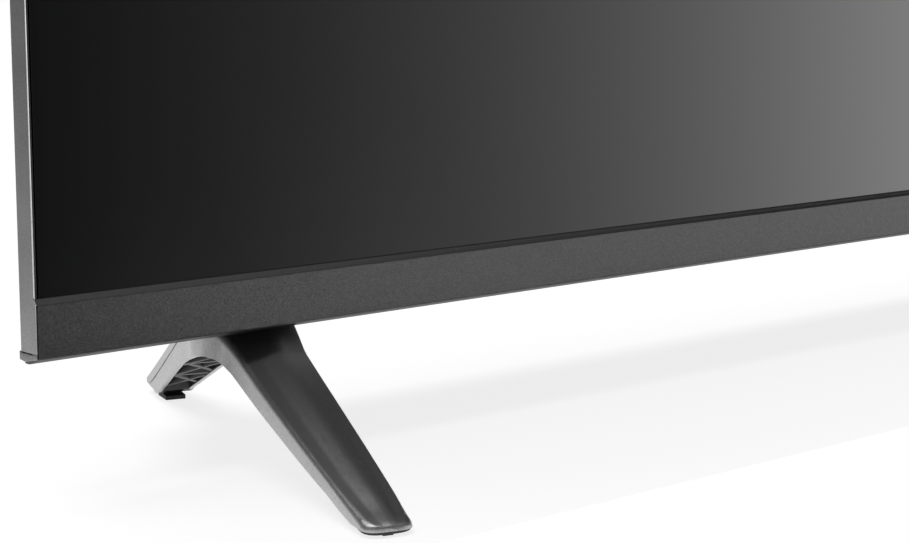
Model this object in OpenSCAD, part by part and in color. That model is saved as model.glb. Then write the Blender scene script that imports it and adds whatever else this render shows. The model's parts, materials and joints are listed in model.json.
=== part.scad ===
// Flat screen television on two splayed feet, a 43 inch class set with a slim metal rim.
// Millimetres, +Z up, +X to the viewer's right, the screen faces -Y.
// The origin is on the floor, under the middle of the set.
// Depths inside the set are counted backwards from the front face of the chin.

/* [Screen] */
// Width of the screen glass
cell_w = 952.8; // [900:0.1:1000]
// Height of the screen glass that shows above the chin
cell_view_h = 539.3; // [510:0.1:600]
// Height of the screen glass hidden behind the chin
cell_hidden_h = 9; // [7:0.5:9.5]
// Thickness of the screen glass, two bonded sheets
cell_t = 1.4; // [1:0.1:2]

/* [Rim] */
// Thickness of the rail walls
rim_wall = 1.5; // [1.2:0.1:2]
// Dark gap between the glass and the rails
rim_gap = 0.6; // [0.3:0.1:1]
// How far the rails' front edge lies behind the chin's face
rim_setback = 0.8; // [0.4:0.1:1.2]
// Inward width of the rails' back lip
rim_lip_w = 9; // [7:0.5:11]
// Thickness of the rails' back lip
rim_lip_t = 1; // [0.8:0.1:1.5]
// Width of the polished front edge
rim_polish = 0.7; // [0.3:0.1:0.9]

/* [Chin] */
// Height of the chin's front face
chin_h = 18; // [16:0.5:24]
// Height of the bevel between the chin's face and the glass
chin_bevel_h = 2.2; // [1.4:0.1:3]
// Depth of that bevel
chin_bevel_d = 1.3; // [0.8:0.1:1.3]
// Thickness of the chin, and so the depth of the glass behind its face
chin_wall = 1.7; // [1.5:0.1:2.2]
// How far the pale lower lip drops behind the chin
lip_drop = 2.9; // [2:0.1:4]
// Depth at which the lower lip levels out
lip_depth = 8.3; // [7.5:0.1:9]

/* [Backlight] */
// Thickness of the ledge that carries the glass
ledge_t = 2.3; // [1.8:0.1:3]
// Thickness of one optical film
film_t = 0.4; // [0.3:0.05:0.6]
// Thickness of the diffuser plate
diffuser_t = 2; // [1.5:0.1:2.5]
// Thickness of the steel tray
tray_t = 1; // [0.8:0.1:1.5]
// Depth of the light cavity behind the tray's flange
cavity = 16.4; // [14:0.1:22]
// Width of the tray's flange
flange_w = 12; // [12:0.5:16]
// Inward run of the tray's sloping sides
tray_slope = 22; // [18:1:26]
// Number of light strips
strip_count = 4; // [3:1:5]
// Lenses on each strip
lens_count = 8; // [6:1:9]

/* [Rear cover] */
// Depth of the whole set, from the chin's face to the flat back
set_depth = 72; // [70:0.5:85]
// Wall of the rear cover
cover_wall = 2.5; // [2:0.1:3]
// Inset of the cover from the side of the set
cover_inset = 53.5; // [50:0.5:60]
// Distance of the cover's upper edge below the top of the set
cover_top_gap = 161.6; // [150:0.2:175]
// Run of the cover's sloping sides
cover_side_run = 30; // [20:1:34]
// Run of the cover's sloping top
cover_top_run = 35; // [20:1:40]
// Reach of the two connector bays inwards from the flat back's edge
bay_reach = 65; // [60:1:68]
// Spacing of the wall mount's holes
vesa = 200; // [200:100:200]
// Radius of the wall mount's threaded bores
vesa_bore_r = 3; // [2:0.5:3]

/* [Boards] */
// Height of the standoffs under the boards
standoff_h = 6; // [5:0.5:8]
// Thickness of the circuit boards
board_t = 1.6; // [1.2:0.1:2]
// Width of the main board and of the power board
board_w = 205; // [195:1:208]
// Height of the main board
main_board_h = 212; // [212:1:216]
// Height of the power board
power_board_h = 170; // [165:1:180]

/* [Keys] */
// Radius of a key
key_r = 4.5; // [4:0.1:5]
// Spacing of the keys
key_pitch = 16; // [15:0.5:17]
// Travel of a key
key_travel = 0.5; // [0.3:0.1:0.6]
// Clearance round a key
key_gap = 0.4; // [0.3:0.1:0.6]

/* [Speakers] */
// Width of a speaker box
speaker_w = 118; // [110:1:120]
// Height of a speaker box
speaker_h = 62; // [55:1:64]
// Depth of a speaker box
speaker_d = 32; // [32:0.5:33]
// Radius of a speaker's opening
speaker_r = 14; // [12:0.5:14.5]

/* [Feet] */
// Height of the chin's lower edge above the floor
floor_gap = 50; // [44:0.5:60]
// Angle by which each foot's front toe points outwards
foot_splay = 17; // [10:0.5:20]
// Distance of the foot's middle from the side of the set
foot_inset = 98.7; // [95:0.1:110]
// Depth of the foot's middle behind the chin's face
foot_mid_d = 9; // [4:0.5:12]
// Reach of the front toe from the foot's middle
foot_front = 118.6; // [110:0.1:130]
// Reach of the heel from the foot's middle
foot_rear = 128; // [124:1:140]
// Half width of the front toe
toe_half = 9; // [7:0.1:9.4]
// Length over which the toe's corners are rounded
toe_round = 7; // [5:0.5:9]
// Height of the top shell's side
shell_side = 3.8; // [3.5:0.1:4.2]
// Thickness of the top shell
shell_t = 2; // [1.6:0.1:2.2]
// Crown of the top shell above its edges
shell_crown = 1.2; // [0.5:0.1:2]
// Wall of the ribbed frame
foot_wall = 2.4; // [2:0.1:3]

/* [Hidden] */
$fn = 48;

// Small clearances that the whole set shares
touch_gap = 0.2;
screw_gap = 0.1;

// Outer frame of the set
front_y = -foot_mid_d - (foot_rear - foot_front) / 2 * cos(foot_splay);
half_w = cell_w / 2 + rim_gap + rim_wall;
chin_z0 = floor_gap;
chin_z1 = chin_z0 + chin_h;
view_z0 = chin_z1 + chin_bevel_h;
cell_z0 = view_z0 - cell_hidden_h;
cell_z1 = view_z0 + cell_view_h;
top_z = cell_z1 + rim_gap + rim_wall;
base_z = chin_z0 - lip_drop;
rail_z0 = chin_z0 + 1.6;

// Layers, as depths behind the chin's face
cell_d0 = chin_wall;
cell_mid_d = cell_d0 + cell_t / 2;
cell_d1 = cell_d0 + cell_t;
film_count = 3;
film_gap = 0.05;
films_d0 = cell_d1 + ledge_t;
diffuser_d0 = films_d0 + film_count * (film_t + film_gap);
flange_d0 = diffuser_d0 + diffuser_t;
lip_d0 = flange_d0 + tray_t;
rim_d1 = lip_d0 + rim_lip_t;
floor_d0 = lip_d0 + cavity;
floor_d1 = floor_d0 + tray_t;
board_d0 = floor_d1 + standoff_h;
board_d1 = board_d0 + board_t;
back_d1 = set_depth;
back_d0 = back_d1 - cover_wall;

// Middle frame and tray, inside the rails
inner_half = half_w - rim_wall - touch_gap;
inner_z0 = rail_z0 + 0.1;
inner_z1 = top_z - rim_wall - touch_gap;
frame_wall = 2;
frame_ledge_w = 10;
sheet_gap = 0.3;
sheet_half = inner_half - frame_wall - sheet_gap;
sheet_z0 = view_z0 - 5.5;
sheet_z1 = inner_z1 - frame_wall - sheet_gap;
open_half = inner_half - flange_w;
open_z0 = view_z0 + 6;
open_z1 = inner_z1 - flange_w;
screen_mid_z = (open_z0 + open_z1) / 2;

// Light strips and lenses
strip_t = 1.2;
strip_h = 12;
strip_d0 = floor_d0 - strip_t;
strip_half = open_half - tray_slope - 15;
strip_pitch = (open_z1 - open_z0 - 2 * tray_slope) / strip_count;
lens_pitch = 2 * strip_half / lens_count;
lens_r = 8;
chip_t = 0.6;
chip_side = 3;
reflector_t = 0.4;
strip_zs = [for (i = [0:strip_count - 1]) screen_mid_z + (i - (strip_count - 1) / 2) * strip_pitch];
lens_xs = [for (i = [0:lens_count - 1]) (i - (lens_count - 1) / 2) * lens_pitch];
support_peg_r = 2;
support_xs = [-2 * lens_pitch, 0, 2 * lens_pitch];
support_rise = strip_count % 2 == 0 ? strip_pitch : strip_pitch / 2;
support_zs = [screen_mid_z - support_rise, screen_mid_z + support_rise];

// Rim screws, in rows round the back lip
rim_screw_r = 1.2;
rim_screw_in = rim_wall + 4.5;
rim_screw_head_r = 2.2;
rim_screw_head_t = 1.2;
side_screw_zs = [for (i = [0:4]) rail_z0 + 40 + i * (top_z - rail_z0 - 80) / 4];
top_screw_xs = [for (i = [0:6]) (i - 3) * (half_w - 50) / 3];

// Rear cover
cover_half = half_w - cover_inset;
flat_half = cover_half - cover_side_run;
cover_z1 = top_z - cover_top_gap;
flat_z1 = cover_z1 - cover_top_run;
skirt_d0 = rim_d1 + 0.3;
bay_x = flat_half - bay_reach;
bay_floor_d = board_d0;
vesa_z = flat_z1 - 25 - vesa / 2;
vesa_post_r = 7;
vesa_recess = 0.5;
vesa_depth = 25;

// Boards: the main board on the right, the power board on the left
board_x1 = bay_x - cover_wall - 4.5;
board_x0 = board_x1 - board_w;
main_z1 = flat_z1 - 39;
main_z0 = main_z1 - main_board_h;
power_z0 = main_z0 - 4;
power_z1 = power_z0 + power_board_h;
timing_half = vesa / 2 - vesa_post_r - 3;
timing_z0 = vesa_z + 40;
timing_z1 = vesa_z + 105;
board_screw_r = 1.4;
main_screws = [for (x = [board_x0 + 8, board_x1 - 60]) for (z = [main_z0 + 8, main_z1 - 8]) [x, z]];
power_screws = [for (x = [-board_x0 - 8, -board_x1 + 40]) for (z = [power_z0 + 8, power_z1 - 8]) [x, z]];
timing_screws = [for (x = [-timing_half + 7, timing_half - 7]) [x, timing_z1 - 8]];
board_screws_at = concat(main_screws, power_screws, timing_screws);
inlet_z = power_z0 + 35;

// Sockets along the main board's edge: distance up from the board's lower edge
audio_z = main_z0 + 12;
usb_zs = [main_z0 + 34, main_z0 + 56];
hdmi_zs = [main_z0 + 80, main_z0 + 104, main_z0 + 128];
lan_z = main_z0 + 154;
tuner_z = main_z0 + 187;
port_x1 = bay_x - 0.5;
port_len = 18;
// Sizes of the sockets: along the edge, and out from the board
hdmi_size = [15.4, 6];
usb_size = [14.6, 7.2];
lan_size = [16, 13.6];
audio_size = [12, 9];
tuner_size = [36, 13];
inlet_size = [26, 18];
port_gap = 0.4;

// Keys: a column on the flat back, left of the power board's bay
key_x = -flat_half + 22;
key_z0 = inlet_z + 52;
key_count = 7;
key_zs = [for (i = [0:key_count - 1]) key_z0 + i * key_pitch];
key_flange_r = key_r + 1.5;
key_flange_t = 1.7;
key_rest_gap = 0.3;
key_proud = 1.2;
key_stem_r = 1.6;
switch_h = 4;
switch_side = 6.2;
switch_well = 3;
key_board_d1 = back_d0 - 9.9;
key_board_d0 = key_board_d1 - board_t;
key_flange_d1 = back_d0 - key_rest_gap;
key_stem_d0 = key_board_d1 + switch_h - switch_well + key_travel + key_rest_gap;

// Foot frame of reference: s runs from heel to toe, t across, z up from the floor
foot_x = -half_w + foot_inset;
foot_y = front_y + foot_mid_d;
flat_s0 = -44;
flat_s1 = -20;
heel_z = 5.6;
toe_z = 5;
sole_z = 1.8;
toe_c = foot_front - toe_round;
toe_drop = 1.1;
heel_side = 1.4;
foot_step = 8;
foot_screw_s = -32;
foot_screw_t = 9;
foot_screw_r = 2;
foot_head_r = 4;
foot_head_t = 3;
foot_boss_t = 5;
// Half width of the foot at places along it, chosen from the foot's outline
foot_widths = [
  [-foot_rear, 6.5], [-100, 8.7], [-76, 10.7], [-53, 12.8], [-34, 17.6], [-22, 17.6], [-10, 15.8], [4, 14.5],
  [36, 13.1], [68, 11.5], [100, 9.7], [toe_c, toe_half]
];
// Sideways place of the foot's middle line, at places along it
foot_shifts = [
  [-foot_rear, -2.2], [-60, -1.8], [-34, 0], [-22, 0.6], [-10, 0.9], [4, 0.5], [36, 0.4], [foot_front, 0.4]
];
// Height of the foot from its top edge down to its lower edge, at places along it
foot_drops = [
  [-foot_rear, 1.2], [-108, 14], [-76, 17], [-53, 17.4], [-37, 14.6], [-22, 11.6], [-4, 7.8], [4, 7.2],
  [28, 7.1], [60, 6.2], [92, 5], [foot_front, 3.2]
];
foot_stations = concat(
  [-foot_rear, -foot_rear + 1.2],
  [for (s = [-foot_rear + foot_step / 2 : foot_step : toe_c - foot_step / 4]) s],
  [for (u = [0, 0.3, 0.55, 0.75, 0.88, 0.95, 0.99]) toe_c + u * toe_round]
);

function foot_line_front(s) = base_z + (s - flat_s1) * (toe_z - base_z) / (toe_c - flat_s1);
function foot_line_rear(s) = base_z + (flat_s0 - s) * (heel_z - base_z) / (flat_s0 + foot_rear);
function toe_part(s) = max(0, min(1, (s - toe_c) / toe_round));
function heel_part(s) = max(0, min(1, (flat_s0 - s) / (flat_s0 + foot_rear)));
function foot_shift(s) = lookup(s, foot_shifts);
function foot_edge(s) = s > flat_s1 ? max(toe_z, foot_line_front(s)) :
  s < flat_s0 ? foot_line_rear(s) : base_z;
function foot_top(s) = foot_edge(s) - toe_drop * (1 - sqrt(1 - toe_part(s) * toe_part(s)));
function foot_seam(s) = max(foot_edge(s) - shell_side - heel_side * heel_part(s), sole_z + 1);
function foot_low(s) = max(min(foot_top(s) - lookup(s, foot_drops), foot_seam(s) - 0.8), sole_z);
function foot_half(s) = s > toe_c ? toe_half * pow(1 - pow(toe_part(s), 3), 1 / 3) :
  s < -foot_rear + 1 ? lookup(s, foot_widths) - 1.2 : lookup(s, foot_widths);

// Foot screws in the set's own frame, for the left foot
foot_turn = -(90 + foot_splay);
function foot_point(s, t) = [
  foot_x + s * cos(foot_turn) - t * sin(foot_turn), foot_y + s * sin(foot_turn) + t * cos(foot_turn)
];
foot_screw_points = [for (t = [-foot_screw_t, foot_screw_t]) foot_point(foot_screw_s, t)];
foot_apex = foot_point(foot_screw_s, 0);
bracket_half = 28;
bracket_t = 3;
bracket_z0 = base_z + cover_wall;
bracket_rise = 100;

// Speakers, between the foot brackets and the middle
speaker_x = -foot_apex[0] - bracket_half - 12 - speaker_w / 2;
speaker_d0 = back_d0 - 1.5 - speaker_d;
speaker_mid_d = speaker_d0 + speaker_d / 2;
speaker_wall = 2.4;
speaker_z0 = base_z + cover_wall;
cone_travel = 1;
coil_r = 6.5;
coil_wall = 0.4;
coil_gap = 0.45;

// Infrared receiver, under the right half of the chin
ir_x = 0.67 * half_w;
ir_d = rim_d1 + 4;
ir_window_w = 20;
ir_window_d = 5;

// Helpers

// Moves a piece drawn with depths to its place
module at_depth() {
  translate([0, front_y, 0]) children();
}

module both_sides() {
  children();
  mirror([1, 0, 0]) children();
}

// A block between two corners: x, depth and z
module slab(x, d, z) {
  translate([x[0], d[0], z[0]]) cube([x[1] - x[0], d[1] - d[0], z[1] - z[0]]);
}

// A round bar along the depth, at [x, z]
module bar_d(at, r, d) {
  translate([at[0], d[0], at[1]]) rotate([-90, 0, 0]) cylinder(r = r, h = d[1] - d[0]);
}

// A round bar along x, at [depth, z]
module bar_x(at, r, x) {
  translate([x[0], at[0], at[1]]) rotate([0, 90, 0]) cylinder(r = r, h = x[1] - x[0]);
}

// A round bar along z, at [x, depth]
module bar_z(at, r, z) {
  translate([at[0], at[1], z[0]]) cylinder(r = r, h = z[1] - z[0]);
}

// An outline of [depth, z] points drawn out along x
module along_x(points, x) {
  translate([x[0], 0, 0]) rotate([90, 0, 90]) linear_extrude(x[1] - x[0]) polygon(points);
}

// An outline of [x, z] points drawn out along the depth
module along_d(points, d) {
  translate([0, d[1], 0]) rotate([90, 0, 0]) linear_extrude(d[1] - d[0]) polygon(points);
}

// A block with sloping sides between two depths: h is half the width, z the lower and upper edge
module frustum(d, h0, z0, h1, z1) {
  low = min(z0[0], z1[0]) - 1;
  high = max(z0[1], z1[1]) + 1;
  wide = max(h0, h1) + 1;
  intersection() {
    translate([0, 0, low]) linear_extrude(high - low)
      polygon([[-h0, d[0]], [h0, d[0]], [h1, d[1]], [-h1, d[1]]]);
    along_x([[d[0], z0[0]], [d[0], z0[1]], [d[1], z1[1]], [d[1], z1[0]]], [-wide, wide]);
  }
}

// A flat ring between two rectangles, each given by half its width and its lower and upper edge
module ring(d, h0, z0, h1, z1) {
  difference() {
    slab([-h0, h0], d, z0);
    slab([-h1, h1], [d[0] - 1, d[1] + 1], z1);
  }
}

// Outline of a thin strip of thickness t along a path of points
function unit(v) = v / norm(v);
function path_turn(path, i) = unit(
  unit(path[min(i + 1, len(path) - 1)] - path[max(i - 1, 0)])
);
function strip_outline(path, t) = concat(
  path,
  [for (i = [len(path) - 1 : -1 : 0]) path[i] + t * [-path_turn(path, i)[1], path_turn(path, i)[0]]]
);

// A path with its corners cut, twice over
function cut_corners(path) = concat(
  [path[0]],
  [for (i = [0 : len(path) - 2]) each [0.75 * path[i] + 0.25 * path[i + 1],
    0.25 * path[i] + 0.75 * path[i + 1]]],
  [path[len(path) - 1]]
);
function smooth_path(path) = cut_corners(cut_corners(path));

// A round wire along a path
wire_sides = 8;
function wire_ring(path, i, r) = let(
  along = path_turn(path, i), side = unit(cross(along, [0.02, 1, 0.03])), up = cross(along, side)
) [for (k = [0 : wire_sides - 1])
  path[i] + r * (cos(360 * k / wire_sides) * side + sin(360 * k / wire_sides) * up)];
module wire(route, r) {
  path = smooth_path(route);
  rings = len(path);
  points = [for (i = [0 : rings - 1]) each wire_ring(path, i, r)];
  walls = [
    for (i = [0 : rings - 2]) for (k = [0 : wire_sides - 1]) let(
      a = i * wire_sides + k, b = i * wire_sides + (k + 1) % wire_sides
    ) each [[a, b, b + wire_sides], [a, b + wire_sides, a + wire_sides]]
  ];
  last = (rings - 1) * wire_sides;
  ends = [
    [for (k = [wire_sides - 1 : -1 : 0]) k],
    [for (k = [0 : wire_sides - 1]) last + k]
  ];
  polyhedron(points, concat(walls, ends));
}

// Screen

// Two glass sheets: the rear one reaches lower, to carry the driver films
module lcd_cell() {
  color("#15171a") at_depth() {
    slab([-cell_w / 2, cell_w / 2], [cell_d0, cell_mid_d], [cell_z0 + 3, cell_z1]);
    slab([-cell_w / 2, cell_w / 2], [cell_mid_d, cell_d1], [cell_z0, cell_z1]);
  }
}

flex_t = 0.2;
flex_count = 12;
source_half = half_w - 45;
source_z0 = inner_z0 + 0.3;
source_z1 = cell_z0 - 1;
module driver_flex_films() {
  color("#8a5a1e") at_depth() for (i = [0 : flex_count - 1]) {
    x = (i - (flex_count - 1) / 2) * 2 * source_half / flex_count;
    slab([x - 22, x + 22], [cell_mid_d - flex_t, cell_mid_d], [source_z1 - 3, cell_z0 + 2.6]);
  }
}

module source_board() {
  color("#1d4a2a") at_depth()
    slab([-source_half, source_half], [cell_mid_d, cell_d1], [source_z0, source_z1]);
}

module optical_films() {
  color("#e8e8e4") at_depth() for (i = [0 : film_count - 1]) {
    d0 = films_d0 + i * (film_t + film_gap);
    slab([-sheet_half, sheet_half], [d0, d0 + film_t], [sheet_z0, sheet_z1]);
  }
}

module diffuser_plate() {
  color("#f4f4f0") at_depth()
    slab([-sheet_half, sheet_half], [diffuser_d0, flange_d0], [sheet_z0, sheet_z1]);
}

// Middle frame: a ledge that carries the glass and a wall round the sheets
module panel_frame() {
  color("#101012") at_depth() {
    ring([cell_d1, films_d0], inner_half, [inner_z0, inner_z1],
      inner_half - frame_ledge_w, [view_z0 + 4, inner_z1 - frame_ledge_w]);
    ring([films_d0, flange_d0], inner_half, [sheet_z0 - sheet_gap - frame_wall, inner_z1],
      inner_half - frame_wall, [sheet_z0 - sheet_gap, inner_z1 - frame_wall]);
  }
}

// Backlight

// Half width and edges of the tray's inside at a depth
function tray_run(d) = tray_slope * (d - flange_d0) / (floor_d0 - flange_d0);
module tray_hollow(d0, d1, grow) {
  frustum([d0, d1], open_half - tray_run(d0) + grow,
    [open_z0 + tray_run(d0) - grow, open_z1 - tray_run(d0) + grow],
    open_half - tray_run(d1) + grow, [open_z0 + tray_run(d1) - grow, open_z1 - tray_run(d1) + grow]);
}

module reflector_sheet() {
  color("#fafaf7") at_depth() difference() {
    tray_hollow(flange_d0 + 0.5, strip_d0, -touch_gap);
    tray_hollow(flange_d0 - 0.5, strip_d0 - reflector_t, -touch_gap - reflector_t);
    for (z = strip_zs) for (x = lens_xs) bar_d([x, z], lens_r + 1, [strip_d0 - 2, strip_d0 + 1]);
    for (z = support_zs) for (x = support_xs)
      bar_d([x, z], support_peg_r + touch_gap, [strip_d0 - 2, strip_d0 + 1]);
  }
}

module led_strips() {
  color("#d8d8cf") at_depth() for (z = strip_zs) {
    slab([-strip_half, strip_half], [strip_d0, floor_d0], [z - strip_h / 2, z + strip_h / 2]);
    for (x = lens_xs)
      slab([x - chip_side / 2, x + chip_side / 2], [strip_d0 - chip_t, strip_d0],
        [z - chip_side / 2, z + chip_side / 2]);
  }
}

// Lens with a hollow over the light chip and a dimpled dome
lens_h = 4.6;
chip_room_r = 2.8;
module led_lenses() {
  color("#dfe6ea") at_depth() for (z = strip_zs) for (x = lens_xs)
    translate([x, strip_d0, z]) rotate([90, 0, 0]) rotate_extrude()
      polygon([[chip_room_r, 0], [lens_r, 0], [lens_r, 1.4], [6.8, 3.3], [4.6, lens_h], [2.6, lens_h],
        [0, 3.4], [0, 2], [chip_room_r - 0.8, 1.6]]);
}

// Pins that keep the diffuser plate off the lights
module diffuser_supports() {
  color("#f2f2ee") at_depth() for (z = support_zs) for (x = support_xs)
    translate([x, floor_d0, z]) rotate([90, 0, 0]) rotate_extrude()
      polygon([[0, 0], [support_peg_r, 0], [support_peg_r, strip_t + reflector_t],
        [6, strip_t + reflector_t],
        [6, strip_t + reflector_t + 1.2], [3, strip_t + reflector_t + 1.2], [1, floor_d0 - flange_d0 - 0.1],
        [0, floor_d0 - flange_d0 - 0.1]]);
}

// Pressed stiffening ribs on the tray's back
rib_rise = 2.5;
rib_half_w = 150;
rib_half_h = 9;
rib_z = (cover_z1 + open_z1 - tray_slope) / 2;
module tray_ribs(grow, lift) {
  for (x = [-1, 0, 1])
    translate([x * (2 * rib_half_w - 18), 0, 0])
      frustum([floor_d0 - 1 + lift, floor_d0 + rib_rise + lift], rib_half_w - 24 + grow,
        [rib_z - rib_half_h - grow, rib_z + rib_half_h + grow], rib_half_w - 30 + grow,
        [rib_z - rib_half_h + 5 - grow, rib_z + rib_half_h - 5 + grow]);
}

// Pressed steel tray: flange, sloping sides and flat back
module backlight_tray() {
  color("#2b2d30") at_depth() difference() {
    union() {
      slab([-inner_half, inner_half], [flange_d0, lip_d0], [inner_z0, inner_z1]);
      tray_hollow(flange_d0, floor_d1, tray_t);
      tray_ribs(tray_t * 0.6, tray_t);
    }
    tray_hollow(flange_d0 - 1, floor_d0, 0);
    tray_ribs(0, 0);
    for (z = side_screw_zs) both_sides()
      bar_d([half_w - rim_screw_in, z], rim_screw_r + screw_gap, [flange_d0 - 1, lip_d0 + 1]);
    for (x = top_screw_xs) {
      bar_d([x, top_z - rim_screw_in], rim_screw_r + screw_gap, [flange_d0 - 1, lip_d0 + 1]);
      bar_d([x, base_z + 7], rim_screw_r + screw_gap, [flange_d0 - 1, lip_d0 + 1]);
    }
    for (p = cover_screws_at) bar_d(p, cover_screw_r + screw_gap, [floor_d0 - 1, floor_d1 + 1]);
  }
}

// Rim

// Section of a rail as [distance in from the outer face, depth]
rail_section = [
  [0, rim_setback + 1.3 * rim_polish], [0.7 * rim_polish, rim_setback], [rim_wall, rim_setback],
  [rim_wall, lip_d0], [rim_lip_w, lip_d0], [rim_lip_w, rim_d1], [0.4, rim_d1], [0, rim_d1 - 0.4]
];
mitre = rim_lip_w + 4;
cheek_t = 0.4;
cheek_gap = 0.05;

// Side rail, with a cheek that covers the end of the chin
module side_rail() {
  difference() {
    union() {
      intersection() {
        translate([-half_w, 0, rail_z0]) linear_extrude(top_z - rail_z0) polygon(rail_section);
        along_d([[-half_w, rail_z0], [-half_w, top_z], [-half_w + mitre, top_z - mitre],
          [-half_w + mitre, rail_z0]],
          [0, rim_d1]);
      }
      along_x([[0, rail_z0], [0, chin_z1], [rim_setback + rim_polish, view_z0 + rim_polish],
        [2 * rim_polish + rim_setback, view_z0], [2 * rim_polish + rim_setback, rail_z0]],
          [-half_w, -half_w + rim_wall]);
    }
    chin_seat([rail_z0 - 1, view_z0 + cheek_gap]);
    for (z = side_screw_zs) bar_d([-half_w + rim_screw_in, z], rim_screw_r + screw_gap,
      [lip_d0 - 1, rim_d1 + 1]);
  }
}

// Room for the chin's end behind the cheek, on the left
module chin_seat(z) {
  slab([-half_w + cheek_t, -half_w + rim_wall + 1], [-1, chin_wall + cheek_gap], z);
}

module left_rail() {
  color("#6f7275") at_depth() side_rail();
}

module right_rail() {
  color("#6f7275") at_depth() mirror([1, 0, 0]) side_rail();
}

module top_rail() {
  color("#6f7275") at_depth() difference() {
    intersection() {
      along_x([for (p = rail_section) [p[1], top_z - p[0]]], [-half_w, half_w]);
      along_d([[-half_w, top_z], [half_w, top_z], [half_w - mitre, top_z - mitre],
        [-half_w + mitre, top_z - mitre]],
        [0, rim_d1]);
    }
    for (x = top_screw_xs) bar_d([x, top_z - rim_screw_in], rim_screw_r + screw_gap,
      [lip_d0 - 1, rim_d1 + 1]);
  }
}

// Pale lower lip under the chin, with a back lip screwed to the tray and slots for the flat cables
lip_front_d = 0.15;
lip_thick = 1.3;
ribbon_x = 92;
ribbon_w = 60;
module bottom_rail() {
  color("#8d9092") at_depth() difference() {
    along_x([[lip_front_d, chin_z0], [lip_front_d, chin_z0 - 0.2], [lip_depth, base_z], [rim_d1, base_z],
      [rim_d1, base_z + 11], [lip_d0, base_z + 11], [lip_d0, base_z + lip_thick],
        [lip_depth, base_z + lip_thick],
      [chin_wall, chin_z0]], [-half_w + rim_wall, half_w - rim_wall]);
    for (x = top_screw_xs) bar_d([x, base_z + 7], rim_screw_r + screw_gap, [lip_d0 - 1, rim_d1 + 1]);
    both_sides() slab([half_w - rim_lip_w - touch_gap, half_w], [lip_d0 - 1, rim_d1 + 1],
      [rail_z0 - touch_gap, base_z + 12]);
    both_sides() slab([ribbon_x - ribbon_w / 2 - 2, ribbon_x + ribbon_w / 2 + 2],
      [lip_d0 - 0.5, rim_d1 + 1],
      [base_z + lip_thick + 0.6, base_z + lip_thick + 4]);
  }
}

// Metallic chin: face, stepped bevel up to the glass, and clips round the middle frame
clip_xs = [for (i = [0:7]) (i - 3.5) * 2 * (half_w - 40) / 8];
clip_w = 9;
module chin_trim() {
  end = half_w - cheek_t - cheek_gap;
  hook_d0 = films_d0 + 0.1;
  color("#3f4144") at_depth() {
    along_x([[0, chin_z0], [0, chin_z1], [0.45 * chin_bevel_d, chin_z1 + 0.35 * chin_bevel_h],
      [0.6 * chin_bevel_d, view_z0 - 0.5], [chin_bevel_d, view_z0], [chin_wall, view_z0],
        [chin_wall, chin_z0]],
      [-end, end]);
    for (x = clip_xs)
      along_x([[chin_wall, inner_z0 - 1.3], [hook_d0 + 1, inner_z0 - 1.3], [hook_d0 + 1, inner_z0 + 2],
        [hook_d0, inner_z0 + 1.4], [hook_d0, inner_z0 - 0.2], [chin_wall, inner_z0 - 0.2]],
        [x - clip_w / 2, x + clip_w / 2]);
  }
}

// End caps at the lower corners, each with a tongue inside the chin
cap_z0 = base_z + 1.1;
cap_slot = 0.4;
cap_proud = 0.9;
cap_tongue = 12;
module corner_caps() {
  color("#54575a") at_depth() both_sides() difference() {
    union() {
      along_x([[0.2, rail_z0], [0.2, chin_z0 - 0.1], [lip_depth, cap_z0],
        [rim_d1 + cap_proud, cap_z0 + 0.4],
        [rim_d1 + cap_proud, rail_z0]], [-half_w, -half_w + rim_wall]);
      slab([-half_w + rim_wall, -half_w + rim_wall + cap_tongue], [chin_wall + 0.5, cell_mid_d + 2],
        [chin_z0 + 0.2, rail_z0 - 0.2]);
    }
    chin_seat([chin_z0 - cheek_gap, rail_z0 + 1]);
    slab([-half_w - 1, -half_w + rim_wall + 0.1], [3, rim_d1 - 0.7], [rail_z0 - cap_slot, rail_z0 + 1]);
  }
}

module rim_screw(at) {
  bar_d(at, rim_screw_r, [flange_d0 + 0.2, rim_d1]);
  difference() {
    bar_d(at, rim_screw_head_r, [rim_d1, rim_d1 + rim_screw_head_t]);
    for (a = [0, 90]) translate([at[0], rim_d1 + rim_screw_head_t, at[1]]) rotate([0, a, 0])
      cube([2.6, 1.2, 0.6], center = true);
  }
}

module rim_screws() {
  color("#23252a") at_depth() {
    for (z = side_screw_zs) both_sides() rim_screw([half_w - rim_screw_in, z]);
    for (x = top_screw_xs) {
      rim_screw([x, top_z - rim_screw_in]);
      rim_screw([x, base_z + 7]);
    }
  }
}

// Rear cover

cover_screw_r = 1.5;
cover_head_r = 3.2;
cover_head_t = 2.2;
cover_well_r = 3.8;
cover_well_d = floor_d1 + 3;
cover_boss_r = cover_well_r + 1.8;
cover_screw_top = flat_z1 - 12;
cover_screws_at = concat(
  [for (x = [-1, 1]) [x * (flat_half - 12), cover_screw_top]],
  [for (x = [-1, 1]) [x * 0.45 * flat_half, cover_screw_top]],
  [for (x = [-1, 1]) [x * (bay_x - 18), main_z0 - 14]],
  [for (x = [-1, 1]) [x * 40, main_z0 - 40]]
);
vent_pitch = 8;
vent_w = 3.2;
vent_h = 26;
vent_count = 20;
grille_pitch = 5;
grille_count = 7;
grille_w = 2.2;

module cover_outer(in) {
  d1 = back_d1 - in;
  frustum([floor_d1, d1], cover_half - in, [base_z + in, cover_z1 - in],
    flat_half - in, [base_z + in, flat_z1 - in]);
}

// Bay that the sockets face into, on one side: grown by a wall for its own walls
module bay(z, grow) {
  slab([bay_x - grow, half_w], [bay_floor_d - grow, back_d1 + 1], [z[0] - grow, z[1] + grow]);
}

main_bay_z = [main_z0 - 4, main_z1 + 4];
inlet_bay_z = [inlet_z - 28, inlet_z + 28];

module port_hole(z, size) {
  slab([bay_x - cover_wall - 1, bay_x + 1], [board_d1 - port_gap, board_d1 + size[1] + port_gap],
    [z - size[0] / 2 - port_gap, z + size[0] / 2 + port_gap]);
}

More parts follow.
